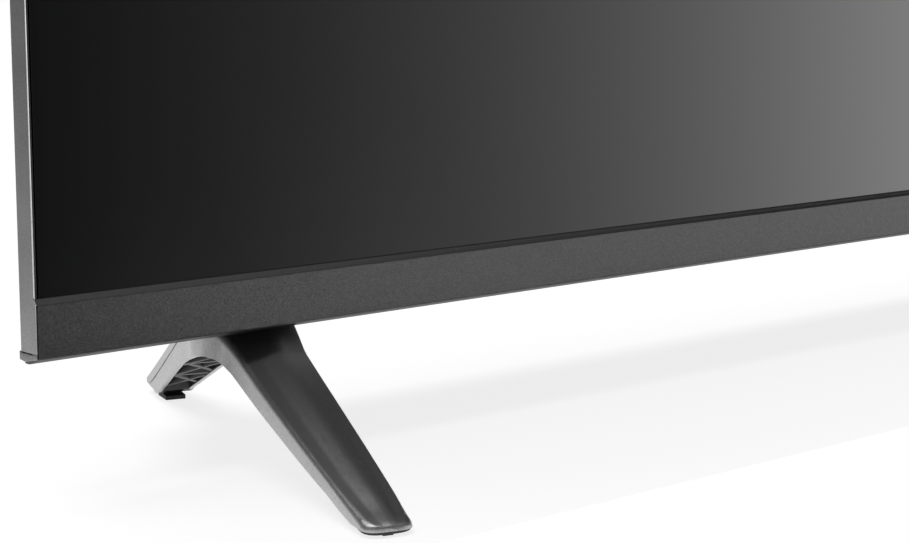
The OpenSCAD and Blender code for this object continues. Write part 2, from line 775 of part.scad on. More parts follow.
// Skirt below the tray: bottom wall and two end walls that follow the tray's slope
module cover_skirt() {
  run = tray_slope / (floor_d0 - flange_d0);
  clear = tray_t + 1.2;
  slab([-cover_half, cover_half], [skirt_d0, floor_d1], [base_z, base_z + cover_wall]);
  both_sides() along_x([[skirt_d0, base_z], [floor_d1, base_z],
    [floor_d1, open_z0 + run * (floor_d1 - flange_d0) - clear],
      [skirt_d0, open_z0 + run * (skirt_d0 - flange_d0) - clear]],
    [cover_half - cover_wall, cover_half]);
}

module rear_cover() {
  color("#1c1d1f") at_depth() difference() {
    union() {
      difference() {
        cover_outer(0);
        translate([0, -0.01, 0]) cover_outer(cover_wall);
        slab([-cover_half, cover_half], [floor_d1 - 1, floor_d1 + 0.01],
          [base_z + cover_wall, cover_z1 - cover_wall]);
      }
      cover_skirt();
      intersection() {
        cover_outer(0);
        bay(main_bay_z, cover_wall);
      }
      intersection() {
        cover_outer(0);
        mirror([1, 0, 0]) bay(inlet_bay_z, cover_wall);
      }
      for (p = cover_screws_at) bar_d(p, cover_boss_r, [floor_d1, back_d1 - 0.5]);
      for (z = [key_zs[0] - 10, key_zs[key_count - 1] + 10])
        bar_d([key_x, z], 2.5, [key_board_d1, back_d0 + 0.5]);
    }
    bay(main_bay_z, 0);
    mirror([1, 0, 0]) bay(inlet_bay_z, 0);
    for (p = cover_screws_at) {
      bar_d(p, cover_well_r, [cover_well_d, back_d1 + 1]);
      bar_d(p, cover_screw_r + screw_gap, [floor_d1 - 1, cover_well_d + 1]);
    }
    for (x = [-vesa / 2, vesa / 2]) for (z = [vesa_z - vesa / 2, vesa_z + vesa / 2])
      bar_d([x, z], vesa_post_r + sheet_gap, [back_d0 - 1, back_d1 + 1]);
    for (z = key_zs) bar_d([key_x, z], key_r + key_gap, [back_d0 - 1, back_d1 + 1]);
    for (z = hdmi_zs) port_hole(z, hdmi_size);
    for (z = usb_zs) port_hole(z, usb_size);
    port_hole(lan_z, lan_size);
    port_hole(audio_z, audio_size);
    bar_x([board_d1 + tuner_size[1] / 2, tuner_z], coax_r + port_gap, [bay_x - cover_wall - 1, bay_x + 1]);
    mirror([1, 0, 0]) port_hole(inlet_z, inlet_size);
    for (i = [0 : vent_count - 1]) both_sides()
      slab([vesa / 2 + 46 + i * vent_pitch, vesa / 2 + 46 + i * vent_pitch + vent_w],
        [back_d0 - 1, back_d1 + 1],
        [base_z + 30, base_z + 30 + vent_h]);
    for (i = [0 : vent_count - 1])
      slab([(i - vent_count / 2) * vent_pitch, (i - vent_count / 2) * vent_pitch + vent_w],
        [back_d0 - 1, back_d1 + 1],
        [flat_z1 - 14 - vent_h, flat_z1 - 14]);
    for (i = [0 : grille_count - 1]) both_sides()
      slab([speaker_x - 15, speaker_x + 15],
        [speaker_mid_d + (i - grille_count / 2) * grille_pitch,
          speaker_mid_d + (i - grille_count / 2) * grille_pitch + grille_w],
        [base_z - 1, base_z + cover_wall + 0.5]);
    slab([ir_x - ir_window_w / 2 - touch_gap, ir_x + ir_window_w / 2 + touch_gap],
      [ir_d - ir_window_d / 2 - touch_gap, ir_d + ir_window_d / 2 + touch_gap],
        [base_z - 1, base_z + cover_wall + 1]);
    both_sides() for (p = foot_screw_points)
      bar_z([p[0], p[1] - front_y], foot_screw_r + 2 * screw_gap, [base_z - 1, base_z + cover_wall + 1]);
  }
}

module cover_screws() {
  color("#3a3b3e") at_depth() for (p = cover_screws_at) {
    bar_d(p, cover_screw_r, [floor_d0 + touch_gap, cover_well_d]);
    difference() {
      bar_d(p, cover_head_r, [cover_well_d, cover_well_d + cover_head_t]);
      for (a = [0, 90]) translate([p[0], cover_well_d + cover_head_t, p[1]]) rotate([0, a, 0])
        cube([4, 2, 0.9], center = true);
    }
  }
}

// Threaded posts of the wall mount
module vesa_inserts() {
  color("#b5b8ba") at_depth()
    for (x = [-vesa / 2, vesa / 2]) for (z = [vesa_z - vesa / 2, vesa_z + vesa / 2]) difference() {
      bar_d([x, z], vesa_post_r, [floor_d1, back_d1 - vesa_recess]);
      bar_d([x, z], vesa_bore_r, [back_d1 - vesa_recess - vesa_depth, back_d1 + 1]);
    }
}

// Boards

module board(x, z) {
  slab(x, [board_d0, board_d1], z);
}

module board_block(x, z, h) {
  slab(x, [board_d1, board_d1 + h], z);
}

module board_holes(points) {
  for (p = points) bar_d(p, board_screw_r + touch_gap, [board_d0 - 1, board_d1 + 1]);
}

chip_z = main_z0 + 120;
chip_x = board_x0 + 80;
chip_h = 2.2;
module main_board() {
  color("#1f5a34") at_depth() {
    difference() {
      board([board_x0, board_x1], [main_z0, main_z1]);
      board_holes(main_screws);
    }
    board_block([chip_x - 15, chip_x + 15], [chip_z - 15, chip_z + 15], chip_h);
    for (z = [chip_z - 40, chip_z + 28]) board_block([chip_x - 7, chip_x + 7], [z, z + 11], 1.2);
    for (i = [0:2]) board_block([board_x0 + 4, board_x0 + 12],
      [main_z0 + 30 + i * 34, main_z0 + 52 + i * 34], 7);
    for (i = [0:3]) bar_d([board_x0 + 30 + i * 24, main_z0 + 34], 5, [board_d1, board_d1 + 12]);
    for (i = [0:1]) board_block([board_x0 + 28 + i * 40, board_x0 + 48 + i * 40],
      [main_z0 + 3, main_z0 + 9], 6);
  }
}

// Finned block on the main chip, and two plates on the power board
fin_count = 9;
module heatsinks() {
  color("#3b3d40") at_depth() {
    slab([chip_x - 27, chip_x + 27], [board_d1 + chip_h, board_d1 + chip_h + 3],
      [chip_z - 25, chip_z + 25]);
    for (i = [0 : fin_count - 1])
      slab([chip_x - 27 + i * 6.5, chip_x - 25 + i * 6.5], [board_d1 + chip_h + 3, board_d1 + chip_h + 14],
        [chip_z - 25, chip_z + 25]);
    for (x = [-board_x0 - 60, -board_x0 - 105])
      board_block([x - 1.5, x + 1.5], [power_z0 + 86, power_z0 + 146], 24);
  }
}

coax_r = 4.75;
coax_len = 11;
module tuner() {
  color("#b9bcbe") at_depth() {
    board_block([port_x1 - port_len - 30, port_x1 - 3.5],
      [tuner_z - tuner_size[0] / 2, tuner_z + tuner_size[0] / 2],
      tuner_size[1]);
    difference() {
      bar_x([board_d1 + tuner_size[1] / 2, tuner_z], coax_r, [port_x1 - 3.5, port_x1 + coax_len]);
      bar_x([board_d1 + tuner_size[1] / 2, tuner_z], 0.8, [port_x1 + coax_len - 6, port_x1 + coax_len + 1]);
    }
  }
}

// A socket on the board's edge: a box with a mouth of the given wall and depth
module socket(z, size, wall, deep) {
  difference() {
    board_block([port_x1 - port_len, port_x1], [z - size[0] / 2, z + size[0] / 2], size[1]);
    slab([port_x1 - deep, port_x1 + 1], [board_d1 + wall, board_d1 + size[1] - wall],
      [z - size[0] / 2 + wall, z + size[0] / 2 - wall]);
  }
}

module hdmi_ports() {
  color("#9fa2a5") at_depth() for (z = hdmi_zs) socket(z, hdmi_size, 0.6, 10);
}

module usb_ports() {
  color("#a9acae") at_depth() for (z = usb_zs) socket(z, usb_size, 0.6, 11);
}

module lan_port() {
  color("#8e9194") at_depth() socket(lan_z, lan_size, 1.6, 12);
}

audio_bore_r = 1.8;
module audio_jack() {
  color("#18191b") at_depth() difference() {
    board_block([port_x1 - port_len, port_x1], [audio_z - audio_size[0] / 2, audio_z + audio_size[0] / 2],
      audio_size[1]);
    bar_x([board_d1 + audio_size[1] / 2, audio_z], audio_bore_r, [port_x1 - 14, port_x1 + 1]);
  }
}

module power_board() {
  color("#a8843c") at_depth() {
    difference() {
      board([-board_x1, -board_x0], [power_z0, power_z1]);
      board_holes(power_screws);
    }
    for (i = [0:1]) board_block([-board_x0 - 12, -board_x0 - 4],
      [power_z0 + 40 + i * 50, power_z0 + 72 + i * 50], 7);
    board_block([-board_x1 + 46, -board_x1 + 64], [power_z0 + 20, power_z0 + 34], 10);
    bar_d([-board_x1 + 85, power_z0 + 28], 9, [board_d1, board_d1 + 14]);
  }
}

// Wound transformers: core with a bobbin standing a little wider
module transformer(x, z, w, h, t) {
  board_block([x - w / 2, x + w / 2], [z - h / 2, z + h / 2], t);
  board_block([x - w / 2 - 3, x + w / 2 + 3], [z - h / 4, z + h / 4], t - 4);
}

module transformers() {
  color("#b7902e") at_depth() {
    transformer(-board_x0 - 82, power_z0 + 116, 26, 34, 24);
    transformer(-board_x0 - 150, power_z0 + 140, 22, 26, 18);
  }
}

module capacitors() {
  color("#20242c") at_depth() {
    for (i = [0:1]) bar_d([-board_x0 - 130, power_z0 + 62 + i * 26], 10, [board_d1, board_d1 + 26]);
    for (i = [0:3]) bar_d([-board_x0 - 36, power_z0 + 96 + i * 16], 5, [board_d1, board_d1 + 16]);
  }
}

// Two-pin mains inlet with a figure-of-eight mouth
inlet_pin = 4.3;
inlet_r = 4.1;
inlet_deep = 13;
module mains_inlet() {
  mid = board_d1 + inlet_size[1] / 2;
  color("#17181a") at_depth() mirror([1, 0, 0]) {
    difference() {
      board_block([port_x1 - port_len - 4, port_x1],
        [inlet_z - inlet_size[0] / 2, inlet_z + inlet_size[0] / 2], inlet_size[1]);
      for (side = [-1, 1]) bar_x([mid, inlet_z + side * inlet_pin], inlet_r,
        [port_x1 - inlet_deep, port_x1 + 1]);
      slab([port_x1 - inlet_deep, port_x1 + 1], [mid - inlet_r, mid + inlet_r],
        [inlet_z - inlet_pin, inlet_z + inlet_pin]);
    }
    for (side = [-1, 1]) bar_x([mid, inlet_z + side * inlet_pin], 1.2,
      [port_x1 - inlet_deep - 0.5, port_x1 - 3]);
  }
}

module timing_board() {
  color("#234f7a") at_depth() {
    difference() {
      board([-timing_half, timing_half], [timing_z0, timing_z1]);
      board_holes(timing_screws);
    }
    board_block([-12, 12], [timing_z0 + 26, timing_z0 + 50], 1.6);
    both_sides() board_block([ribbon_x - ribbon_w / 2 - 30, ribbon_x - 8], [timing_z0 + 1, timing_z0 + 7],
      2.2);
  }
}

// Flat cables from the timing board, down behind the tray and under it to the source board
ribbon_t = 0.3;
ribbon_narrow = 24;
module panel_ribbons() {
  under_z = base_z + lip_thick + 1.7;
  on_board = ribbon_t + touch_gap;
  route = [
    [board_d1 + on_board, timing_z0 + 0.8], [board_d1 + on_board, timing_z0 - 6],
    [floor_d1 + 0.6, timing_z0 - 26],
    [floor_d1 + 0.6, open_z0 + tray_slope - 2], [lip_d0 + 4, open_z0 - 2], [rim_d1 + 1, under_z + 6],
    [rim_d1 + 0.6, under_z], [cell_mid_d - on_board - 0.1, under_z],
    [cell_mid_d - on_board, inner_z0 + 1.5], [cell_mid_d - on_board, inner_z0 + 3]
  ];
  color("#d9d4c4") at_depth() both_sides()
    along_x(strip_outline(route, -ribbon_t),
      [ribbon_x - ribbon_w / 2, ribbon_x - ribbon_w / 2 + ribbon_narrow]);
}

module board_standoffs() {
  color("#c9b46a") at_depth() for (p = board_screws_at) difference() {
    bar_d(p, 3, [floor_d1, board_d0]);
    bar_d(p, board_screw_r + screw_gap, [floor_d1 + 0.5, board_d0 + 1]);
  }
}

module board_screws() {
  color("#c3c6c8") at_depth() for (p = board_screws_at) {
    bar_d(p, board_screw_r, [floor_d1 + 1, board_d1]);
    difference() {
      bar_d(p, 2.8, [board_d1, board_d1 + 1.8]);
      for (a = [0, 90]) translate([p[0], board_d1 + 1.8, p[1]]) rotate([0, a, 0])
        cube([3.4, 1.6, 0.8], center = true);
    }
  }
}

// Leads between the boards, speakers, keys and receiver
wire_r = 1.4;
module wire_harness() {
  lead_d = board_d1 + 5;
  color("#c8c3b6") at_depth() {
    wire([[-board_x0 - 3.8, lead_d, power_z0 + 106], [-board_x0 + 16, lead_d, power_z0 + 106],
      [-40, floor_d1 + 2, main_z0 + 96],
      [40, floor_d1 + 2, main_z0 + 90], [board_x0 - 14, lead_d, main_z0 + 75],
        [board_x0 + 3.8, lead_d, main_z0 + 75]], wire_r);
    wire([[speaker_x, speaker_mid_d, speaker_z0 + speaker_h + 0.1],
      [speaker_x, speaker_mid_d, speaker_z0 + speaker_h + 12],
      [board_x0 + 78, lead_d + 6, main_z0 - 20], [board_x0 + 78, lead_d, main_z0 - 10],
        [board_x0 + 78, lead_d - 2, main_z0 + 2.8]],
      wire_r);
    wire([[-speaker_x, speaker_mid_d, speaker_z0 + speaker_h + 0.1],
      [-speaker_x, speaker_mid_d, speaker_z0 + speaker_h + 14],
      [-board_x0, lead_d + 4, main_z0 - 22], [0, floor_d1 + 2, main_z0 - 24],
        [board_x0 + 38, lead_d + 2, main_z0 - 14],
      [board_x0 + 38, lead_d - 2, main_z0 - 6], [board_x0 + 38, lead_d - 2, main_z0 + 2.8]], wire_r);
  }
}

// Speakers

module speaker_boxes() {
  color("#141517") at_depth() both_sides() difference() {
    slab([speaker_x - speaker_w / 2, speaker_x + speaker_w / 2], [speaker_d0, speaker_d0 + speaker_d],
      [speaker_z0, speaker_z0 + speaker_h]);
    slab([speaker_x - speaker_w / 2 + speaker_wall, speaker_x + speaker_w / 2 - speaker_wall],
      [speaker_d0 + speaker_wall, speaker_d0 + speaker_d - speaker_wall],
      [speaker_z0 + speaker_wall, speaker_z0 + speaker_h - speaker_wall]);
    bar_z([speaker_x, speaker_mid_d], speaker_r - 1, [speaker_z0 - 1, speaker_z0 + speaker_wall + 1]);
  }
}

// Heights inside a speaker, from the box's inner floor up
driver_z = speaker_z0 + speaker_wall;
rim_rise = 4;
gap_z0 = driver_z + 12;
gap_z1 = driver_z + 24;

// Basket ring, three posts and the magnet with its coil gap
module speaker_drivers() {
  post_r = speaker_r - 3.5;
  color("#4a4c50") at_depth() both_sides() translate([speaker_x, speaker_mid_d, 0]) {
    rotate_extrude() polygon([[speaker_r - 1.5, driver_z], [speaker_r - 0.6, driver_z],
      [speaker_r - 0.6, driver_z + rim_rise],
      [speaker_r - 1.5, driver_z + rim_rise]]);
    for (a = [30:120:270]) rotate([0, 0, a]) translate([speaker_r - 1.9, -2, driver_z + rim_rise - 0.2])
      cube([1.2, 4, gap_z0 - driver_z - rim_rise + 2.2]);
    difference() {
      translate([0, 0, gap_z0]) cylinder(r = speaker_r - 0.7, h = gap_z1 - gap_z0);
      translate([0, 0, gap_z0 - 1]) difference() {
        cylinder(r = coil_r + coil_wall + coil_gap, h = gap_z1 - gap_z0 - 3);
        translate([0, 0, -1]) cylinder(r = coil_r - coil_gap, h = gap_z1 - gap_z0);
      }
    }
  }
}

// Cone with its dust cap and voice coil
cone_r = speaker_r - 4.4;
cone_z0 = driver_z + 2;
module speaker_cone() {
  coil_top = gap_z0 + 5.5;
  rotate_extrude() polygon([[0, cone_z0 + 3], [coil_r + 0.2, cone_z0 + 4.4], [cone_r, cone_z0],
    [cone_r, cone_z0 + 0.7],
    [coil_r + coil_wall, cone_z0 + 5.3], [coil_r + coil_wall, coil_top], [coil_r, coil_top],
      [coil_r, cone_z0 + 5.2],
    [0, cone_z0 + 3.7]]);
}

module speaker_cone_left() {
  color("#26282b") at_depth() mirror([1, 0, 0]) translate([speaker_x, speaker_mid_d, 0]) speaker_cone();
}

module speaker_cone_right() {
  color("#26282b") at_depth() translate([speaker_x, speaker_mid_d, 0]) speaker_cone();
}

// Rubber surround: a half roll between the cone's edge and the basket ring
module speaker_surround() {
  mid = (cone_r + 0.05 + speaker_r - 1.55) / 2;
  outer = (speaker_r - 1.55 - cone_r - 0.05) / 2;
  translate([0, 0, cone_z0 + 0.35]) rotate_extrude() translate([mid, 0]) difference() {
    circle(r = outer);
    circle(r = outer - 0.5);
    translate([-outer - 1, -2 * outer]) square([2 * outer + 2, 2 * outer]);
  }
}

module speaker_surround_left() {
  color("#101113") at_depth() mirror([1, 0, 0]) translate([speaker_x, speaker_mid_d, 0]) speaker_surround();
}

module speaker_surround_right() {
  color("#101113") at_depth() translate([speaker_x, speaker_mid_d, 0]) speaker_surround();
}

// Receiver for the remote control

ir_board_t = 1.2;
ir_window_low = 2.4;
module ir_board() {
  color("#1f5a34") at_depth() {
    slab([ir_x - 18, ir_x + 18], [ir_d + ir_window_d / 2, ir_d + ir_window_d / 2 + ir_board_t],
      [base_z + cover_wall, base_z + cover_wall + 16]);
    slab([ir_x - 3.5, ir_x + 3.5], [ir_d - 2, ir_d + ir_window_d / 2],
      [base_z + cover_wall + 2, base_z + cover_wall + 9]);
  }
}

module ir_window() {
  color("#2a0f10") at_depth()
    slab([ir_x - ir_window_w / 2, ir_x + ir_window_w / 2], [ir_d - ir_window_d / 2, ir_d + ir_window_d / 2],
      [base_z - ir_window_low, base_z + cover_wall + 1.8]);
}

// Keys

// Small board on two posts of the cover, with one switch under each key
module key_board() {
  color("#1f5a34") at_depth() {
    slab([key_x - 8, key_x + 8], [key_board_d0, key_board_d1],
      [key_zs[0] - 14, key_zs[key_count - 1] + 14]);
    for (z = key_zs) difference() {
      slab([key_x - switch_side / 2, key_x + switch_side / 2], [key_board_d1, key_board_d1 + switch_h],
        [z - switch_side / 2, z + switch_side / 2]);
      bar_d([key_x, z], key_stem_r + 0.3,
        [key_board_d1 + switch_h - switch_well, key_board_d1 + switch_h + 1]);
    }
  }
}

// Key cap with a retaining flange behind the cover and a stem that works the switch
module push_key(i) {
  color("#303236") at_depth() translate([key_x, 0, key_zs[i]]) rotate([-90, 0, 0]) rotate_extrude()
    polygon([[0, key_stem_d0], [key_stem_r, key_stem_d0], [key_stem_r, key_flange_d1 - key_flange_t],
      [key_flange_r, key_flange_d1 - key_flange_t], [key_flange_r, key_flange_d1], [key_r, key_flange_d1],
      [key_r, back_d1 + key_proud - 0.5], [key_r - 0.5, back_d1 + key_proud], [0, back_d1 + key_proud]]);
}

module key_power() {
  push_key(0);
}

module key_source() {
  push_key(1);
}

module key_menu() {
  push_key(2);
}

module key_channel_down() {
  push_key(3);
}

module key_channel_up() {
  push_key(4);
}

module key_volume_down() {
  push_key(5);
}

module key_volume_up() {
  push_key(6);
}

// Feet

module on_left_foot() {
  translate([foot_x, foot_y, 0]) rotate([0, 0, foot_turn]) children();
}

// Outline of the foot seen from above, drawn in by a margin
function foot_plan(in) = concat(
  [for (s = foot_stations) [s, foot_shift(s) - max(foot_half(s) - in, 0.2)]],
  [for (i = [len(foot_stations) - 1 : -1 : 0]) let(s = foot_stations[i])
    [s, foot_shift(s) + max(foot_half(s) - in, 0.2)]]
);

// Side view of the foot's frame, between its lower edge and the shell's seam
function foot_side(low, high) = concat(
  [for (s = foot_stations) [s, foot_low(s) + low]],
  [for (i = [len(foot_stations) - 1 : -1 : 0]) [foot_stations[i], foot_seam(foot_stations[i]) + high]]
);

module across_foot(points, half) {
  rotate([90, 0, 0]) translate([0, 0, -half]) linear_extrude(2 * half) polygon(points);
}

foot_reach = 40;
frame_inset = 0.4;
frame_roof = 2.6;
rib_t = 1.8;
rib_s = [-86, -68, -52];
gusset_s = [-95, -77, -60];
heel_block = 22;
hollow_end = 4;

// Space inside the foot's frame, open below
module foot_hollow(low) {
  intersection() {
    linear_extrude(base_z) polygon(foot_plan(frame_inset + foot_wall));
    across_foot(concat(
      [for (s = foot_stations) [s, low > 0 ? foot_low(s) + low : -1]],
      [for (i = [len(foot_stations) - 1 : -1 : 0]) [foot_stations[i],
        max(foot_seam(foot_stations[i]) - frame_roof,
          low > 0 ? foot_low(foot_stations[i]) + low + 0.1 : 0)]]
    ), foot_reach);
  }
}

// Ribbed frame: side walls under the shell, cross ribs, crossed gussets and two screw bosses
module foot_frame() {
  boss_z = foot_seam(foot_screw_s);
  difference() {
    union() {
      difference() {
        intersection() {
          linear_extrude(base_z) polygon(foot_plan(frame_inset));
          across_foot(foot_side(0, 0), foot_reach);
        }
        intersection() {
          foot_hollow(0);
          translate([-foot_rear + heel_block, -foot_reach, -2])
            cube([foot_rear - heel_block + hollow_end, 2 * foot_reach, base_z]);
        }
      }
      intersection() {
        foot_hollow(0.8);
        union() {
          for (s = rib_s) translate([s, -foot_reach, 0]) cube([rib_t, 2 * foot_reach, base_z]);
          for (s = gusset_s) for (a = [-45, 45])
            translate([s + rib_t / 2, 0, 0]) rotate([0, 0, a]) translate([-rib_t / 2, -14, 0])
              cube([rib_t, 28, base_z]);
        }
      }
      for (t = [-foot_screw_t, foot_screw_t]) translate([foot_screw_s, t, boss_z - foot_boss_t])
        cylinder(r = foot_head_r + 1.6, h = foot_boss_t - 0.5);
    }
    for (t = [-foot_screw_t, foot_screw_t]) translate([foot_screw_s, t, 0])
      cylinder(r = foot_screw_r + 2 * screw_gap, h = base_z);
  }
}

// Section of the shell at a place along the foot: a flat left facet, a soft crease and a rounded right side
function shell_free(s) = min(1, max(0, (base_z - foot_top(s)) / 6));
function shell_swell(s) = shell_crown * shell_free(s) * min(1, foot_half(s) / toe_half);
function shell_fall(s) = 0.9 * shell_free(s) * min(1, (foot_top(s) - foot_seam(s)) / shell_side);
function shell_ring(s) = let(
  h = foot_half(s), mid = foot_shift(s), top = foot_top(s), low = foot_seam(s),
  swell = shell_swell(s), fall = shell_fall(s), edge = min(1.2, (top - low) / 3, h / 3)
) [for (p = [
  [-h, low], [-h, top - edge], [-h + 0.3 * edge, top - 0.3 * edge], [-h + edge, top],
  [-0.25 * h, top + swell], [0.1 * h, top + 0.85 * swell], [0.45 * h, top + 0.2 * swell - 0.15 * fall],
  [0.75 * h, top - 0.55 * fall], [h - 0.3 * edge, top - fall - 0.2 * edge], [h, top - fall - 0.8 * edge],
  [h, low]
]) [s, mid + p[0], p[1]]];
function shell_room(s) = let(
  h = foot_half(s) - shell_t, mid = foot_shift(s), roof = foot_top(s) - shell_t - 0.6,
    low = foot_seam(s) - 1
) [[s, mid - h, low], [s, mid - h, roof], [s, mid + h, roof - 0.5 * shell_fall(s)], [s, mid + h, low]];

// Solid skin through rings of points, one ring per place
module loft(rings) {
  n = len(rings[0]);
  points = [for (ring = rings) each ring];
  walls = [
    for (i = [0 : len(rings) - 2]) for (k = [0 : n - 1]) let(a = i * n + k, b = i * n + (k + 1) % n)
      each [[a, b, b + n], [a, b + n, a + n]]
  ];
  last = (len(rings) - 1) * n;
  polyhedron(points, concat(walls, [[for (k = [n - 1 : -1 : 0]) k], [for (k = [0 : n - 1]) last + k]]));
}

module foot_cover() {
  room_stations = [for (s = foot_stations) if (s > -foot_rear + 9 && s <= toe_c) s];
  difference() {
    loft([for (s = foot_stations) shell_ring(s)]);
    loft([for (s = room_stations) shell_room(s)]);
    for (t = [-foot_screw_t, foot_screw_t]) translate([foot_screw_s, t, 0])
      cylinder(r = foot_screw_r + 2 * screw_gap, h = base_z + 1);
  }
}

module foot_frame_left() {
  color("#56585b") on_left_foot() foot_frame();
}

module foot_frame_right() {
  color("#56585b") mirror([1, 0, 0]) on_left_foot() foot_frame();
}

module foot_cover_left() {
  color("#3a3c3e") on_left_foot() foot_cover();
}

module foot_cover_right() {
  color("#3a3c3e") mirror([1, 0, 0]) on_left_foot() foot_cover();
}

// Rubber pads, cut to the sole
module foot_pad(span, half) {
  inside = [for (s = foot_stations) if (s >= span[0] && s <= span[1]) s];
  translate([0, foot_shift(span[0]), 0]) across_foot(concat(
    [[inside[0], 0]],
    [for (s = inside) [s, foot_low(s)]],
    [[inside[len(inside) - 1], 0]]
  ), half);
}

module foot_pads() {
  color("#0c0c0d") both_sides() on_left_foot() {
    foot_pad([toe_c - 10, foot_front - 1], 2.2);
    foot_pad([-foot_rear + 11, -foot_rear + 21], 3);
  }
}

module foot_screws() {
  color("#8a8d90") both_sides() on_left_foot() for (t = [-foot_screw_t, foot_screw_t])
    translate([foot_screw_s, t, 0]) {
    head_z1 = foot_seam(foot_screw_s) - foot_boss_t;
    translate([0, 0, head_z1]) cylinder(r = foot_screw_r, h = bracket_z0 + bracket_t + 1.5 - head_z1);
    difference() {
      translate([0, 0, head_z1 - foot_head_t]) cylinder(r = foot_head_r, h = foot_head_t);
      for (a = [0, 90]) rotate([0, 0, a]) translate([0, 0, head_z1 - foot_head_t])
        cube([5, 1.2, 2.4], center = true);
    }
  }
}

// Steel angle brackets inside the cover, which carry the feet on the tray
module foot_brackets() {
  mid_x = foot_apex[0];
  plate_d1 = foot_apex[1] - front_y + 20;
  color("#9a9da0") at_depth() both_sides() difference() {
    union() {
      slab([mid_x - bracket_half, mid_x + bracket_half], [floor_d1, plate_d1],
        [bracket_z0, bracket_z0 + bracket_t]);
      slab([mid_x - bracket_half, mid_x + bracket_half], [floor_d1, floor_d1 + bracket_t],
        [bracket_z0, bracket_z0 + bracket_rise]);
      for (x = [mid_x - bracket_half, mid_x + bracket_half - bracket_t])
        along_x([[floor_d1, bracket_z0], [plate_d1, bracket_z0], [floor_d1, bracket_z0 + 50]],
          [x, x + bracket_t]);
    }
    for (p = foot_screw_points)
      bar_z([p[0], p[1] - front_y], foot_screw_r + screw_gap, [bracket_z0 - 1, bracket_z0 + bracket_t + 1]);
  }
}

lcd_cell();
driver_flex_films();
source_board();
optical_films();
diffuser_plate();
panel_frame();
reflector_sheet();
led_strips();
led_lenses();
diffuser_supports();
backlight_tray();
left_rail();
right_rail();
top_rail();
bottom_rail();
chin_trim();
corner_caps();
rim_screws();
rear_cover();
cover_screws();
vesa_inserts();
main_board();
heatsinks();
tuner();
hdmi_ports();
usb_ports();
lan_port();
audio_jack();
power_board();
transformers();
capacitors();
mains_inlet();
timing_board();
panel_ribbons();
board_standoffs();
board_screws();
wire_harness();
speaker_boxes();
speaker_drivers();
speaker_cone_left();
speaker_cone_right();
speaker_surround_left();
speaker_surround_right();
ir_board();
ir_window();
key_board();
key_power();
key_source();
key_menu();
key_channel_up();
key_channel_down();
key_volume_up();
key_volume_down();
foot_frame_left();
foot_frame_right();
foot_cover_left();
foot_cover_right();
foot_pads();
foot_screws();
foot_brackets();
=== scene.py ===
# %% [markdown]
# # A flat screen television on two splayed feet
#
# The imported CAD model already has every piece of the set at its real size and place.
# This lesson dresses it: each visible piece gets the rounded edges and small forms that moulding,
# pressing and turning leave behind, and each material is built from what the real one is.
# Everything is in metres in the CAD frame: X along the screen, Y from front to back, Z up.

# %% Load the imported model
import json
import math

import bmesh
import bpy
from mathutils import Matrix, Vector

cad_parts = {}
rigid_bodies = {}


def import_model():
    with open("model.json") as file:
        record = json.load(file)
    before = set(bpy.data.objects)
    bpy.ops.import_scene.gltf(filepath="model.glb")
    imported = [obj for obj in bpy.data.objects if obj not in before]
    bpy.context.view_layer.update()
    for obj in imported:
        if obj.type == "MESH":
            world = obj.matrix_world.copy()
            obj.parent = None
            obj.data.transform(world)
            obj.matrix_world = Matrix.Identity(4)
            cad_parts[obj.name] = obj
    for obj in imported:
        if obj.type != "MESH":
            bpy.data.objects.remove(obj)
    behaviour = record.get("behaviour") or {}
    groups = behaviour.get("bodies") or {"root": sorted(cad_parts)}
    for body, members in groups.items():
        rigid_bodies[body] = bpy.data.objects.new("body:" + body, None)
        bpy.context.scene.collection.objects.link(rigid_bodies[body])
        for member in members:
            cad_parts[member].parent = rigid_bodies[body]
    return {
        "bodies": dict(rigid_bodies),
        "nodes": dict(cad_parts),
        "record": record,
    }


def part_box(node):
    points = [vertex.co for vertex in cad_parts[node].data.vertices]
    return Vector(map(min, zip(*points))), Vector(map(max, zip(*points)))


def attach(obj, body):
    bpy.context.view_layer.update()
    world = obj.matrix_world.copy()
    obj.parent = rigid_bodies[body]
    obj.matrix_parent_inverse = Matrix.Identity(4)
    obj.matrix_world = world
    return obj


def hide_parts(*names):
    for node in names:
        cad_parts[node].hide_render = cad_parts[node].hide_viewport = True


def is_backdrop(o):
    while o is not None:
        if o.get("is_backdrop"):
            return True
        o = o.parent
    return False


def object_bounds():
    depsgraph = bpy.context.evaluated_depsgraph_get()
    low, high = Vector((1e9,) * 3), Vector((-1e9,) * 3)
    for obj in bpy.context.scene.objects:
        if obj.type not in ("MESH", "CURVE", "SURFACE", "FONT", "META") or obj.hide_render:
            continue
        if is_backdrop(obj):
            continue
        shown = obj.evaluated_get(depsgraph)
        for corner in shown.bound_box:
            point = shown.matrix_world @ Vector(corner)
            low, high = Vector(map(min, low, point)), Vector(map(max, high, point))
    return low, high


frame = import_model()
cad_low, cad_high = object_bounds()
nodes = frame["nodes"]
slot_of = {part["node"]: part["material_slot"] for part in frame["record"]["subparts"]}
scene = bpy.context.scene
MM = 0.001
print("nodes:", len(nodes), "box in mm:", [round(v / MM, 1) for v in (*cad_low, *cad_high)])

# %% [markdown]
# ## The camera
#
# The picture was taken from the left, a little above the chin, with a longish lens.
# The edges of the screen, the chin and the rail in the picture fix where the camera stood,
# so the place and the lens are worked out once and written down as numbers.

# %% Camera
camera_data = bpy.data.cameras.new("camera")
camera_data.sensor_fit = "HORIZONTAL"
camera_data.sensor_width = 36
camera_data.lens = 81.43
camera = bpy.data.objects.new("camera", camera_data)
camera.location = (-0.8151, -0.60194, 0.18245)
LOOK_DOWN, LOOK_RIGHT = 8.81, 41.45
camera.rotation_euler = (math.radians(90 - LOOK_DOWN), 0, math.radians(-LOOK_RIGHT))
scene.collection.objects.link(camera)
scene.camera = camera
scene.view_settings.view_transform = "Standard"
print("camera at", [round(v, 3) for v in camera.location], "lens", camera_data.lens)

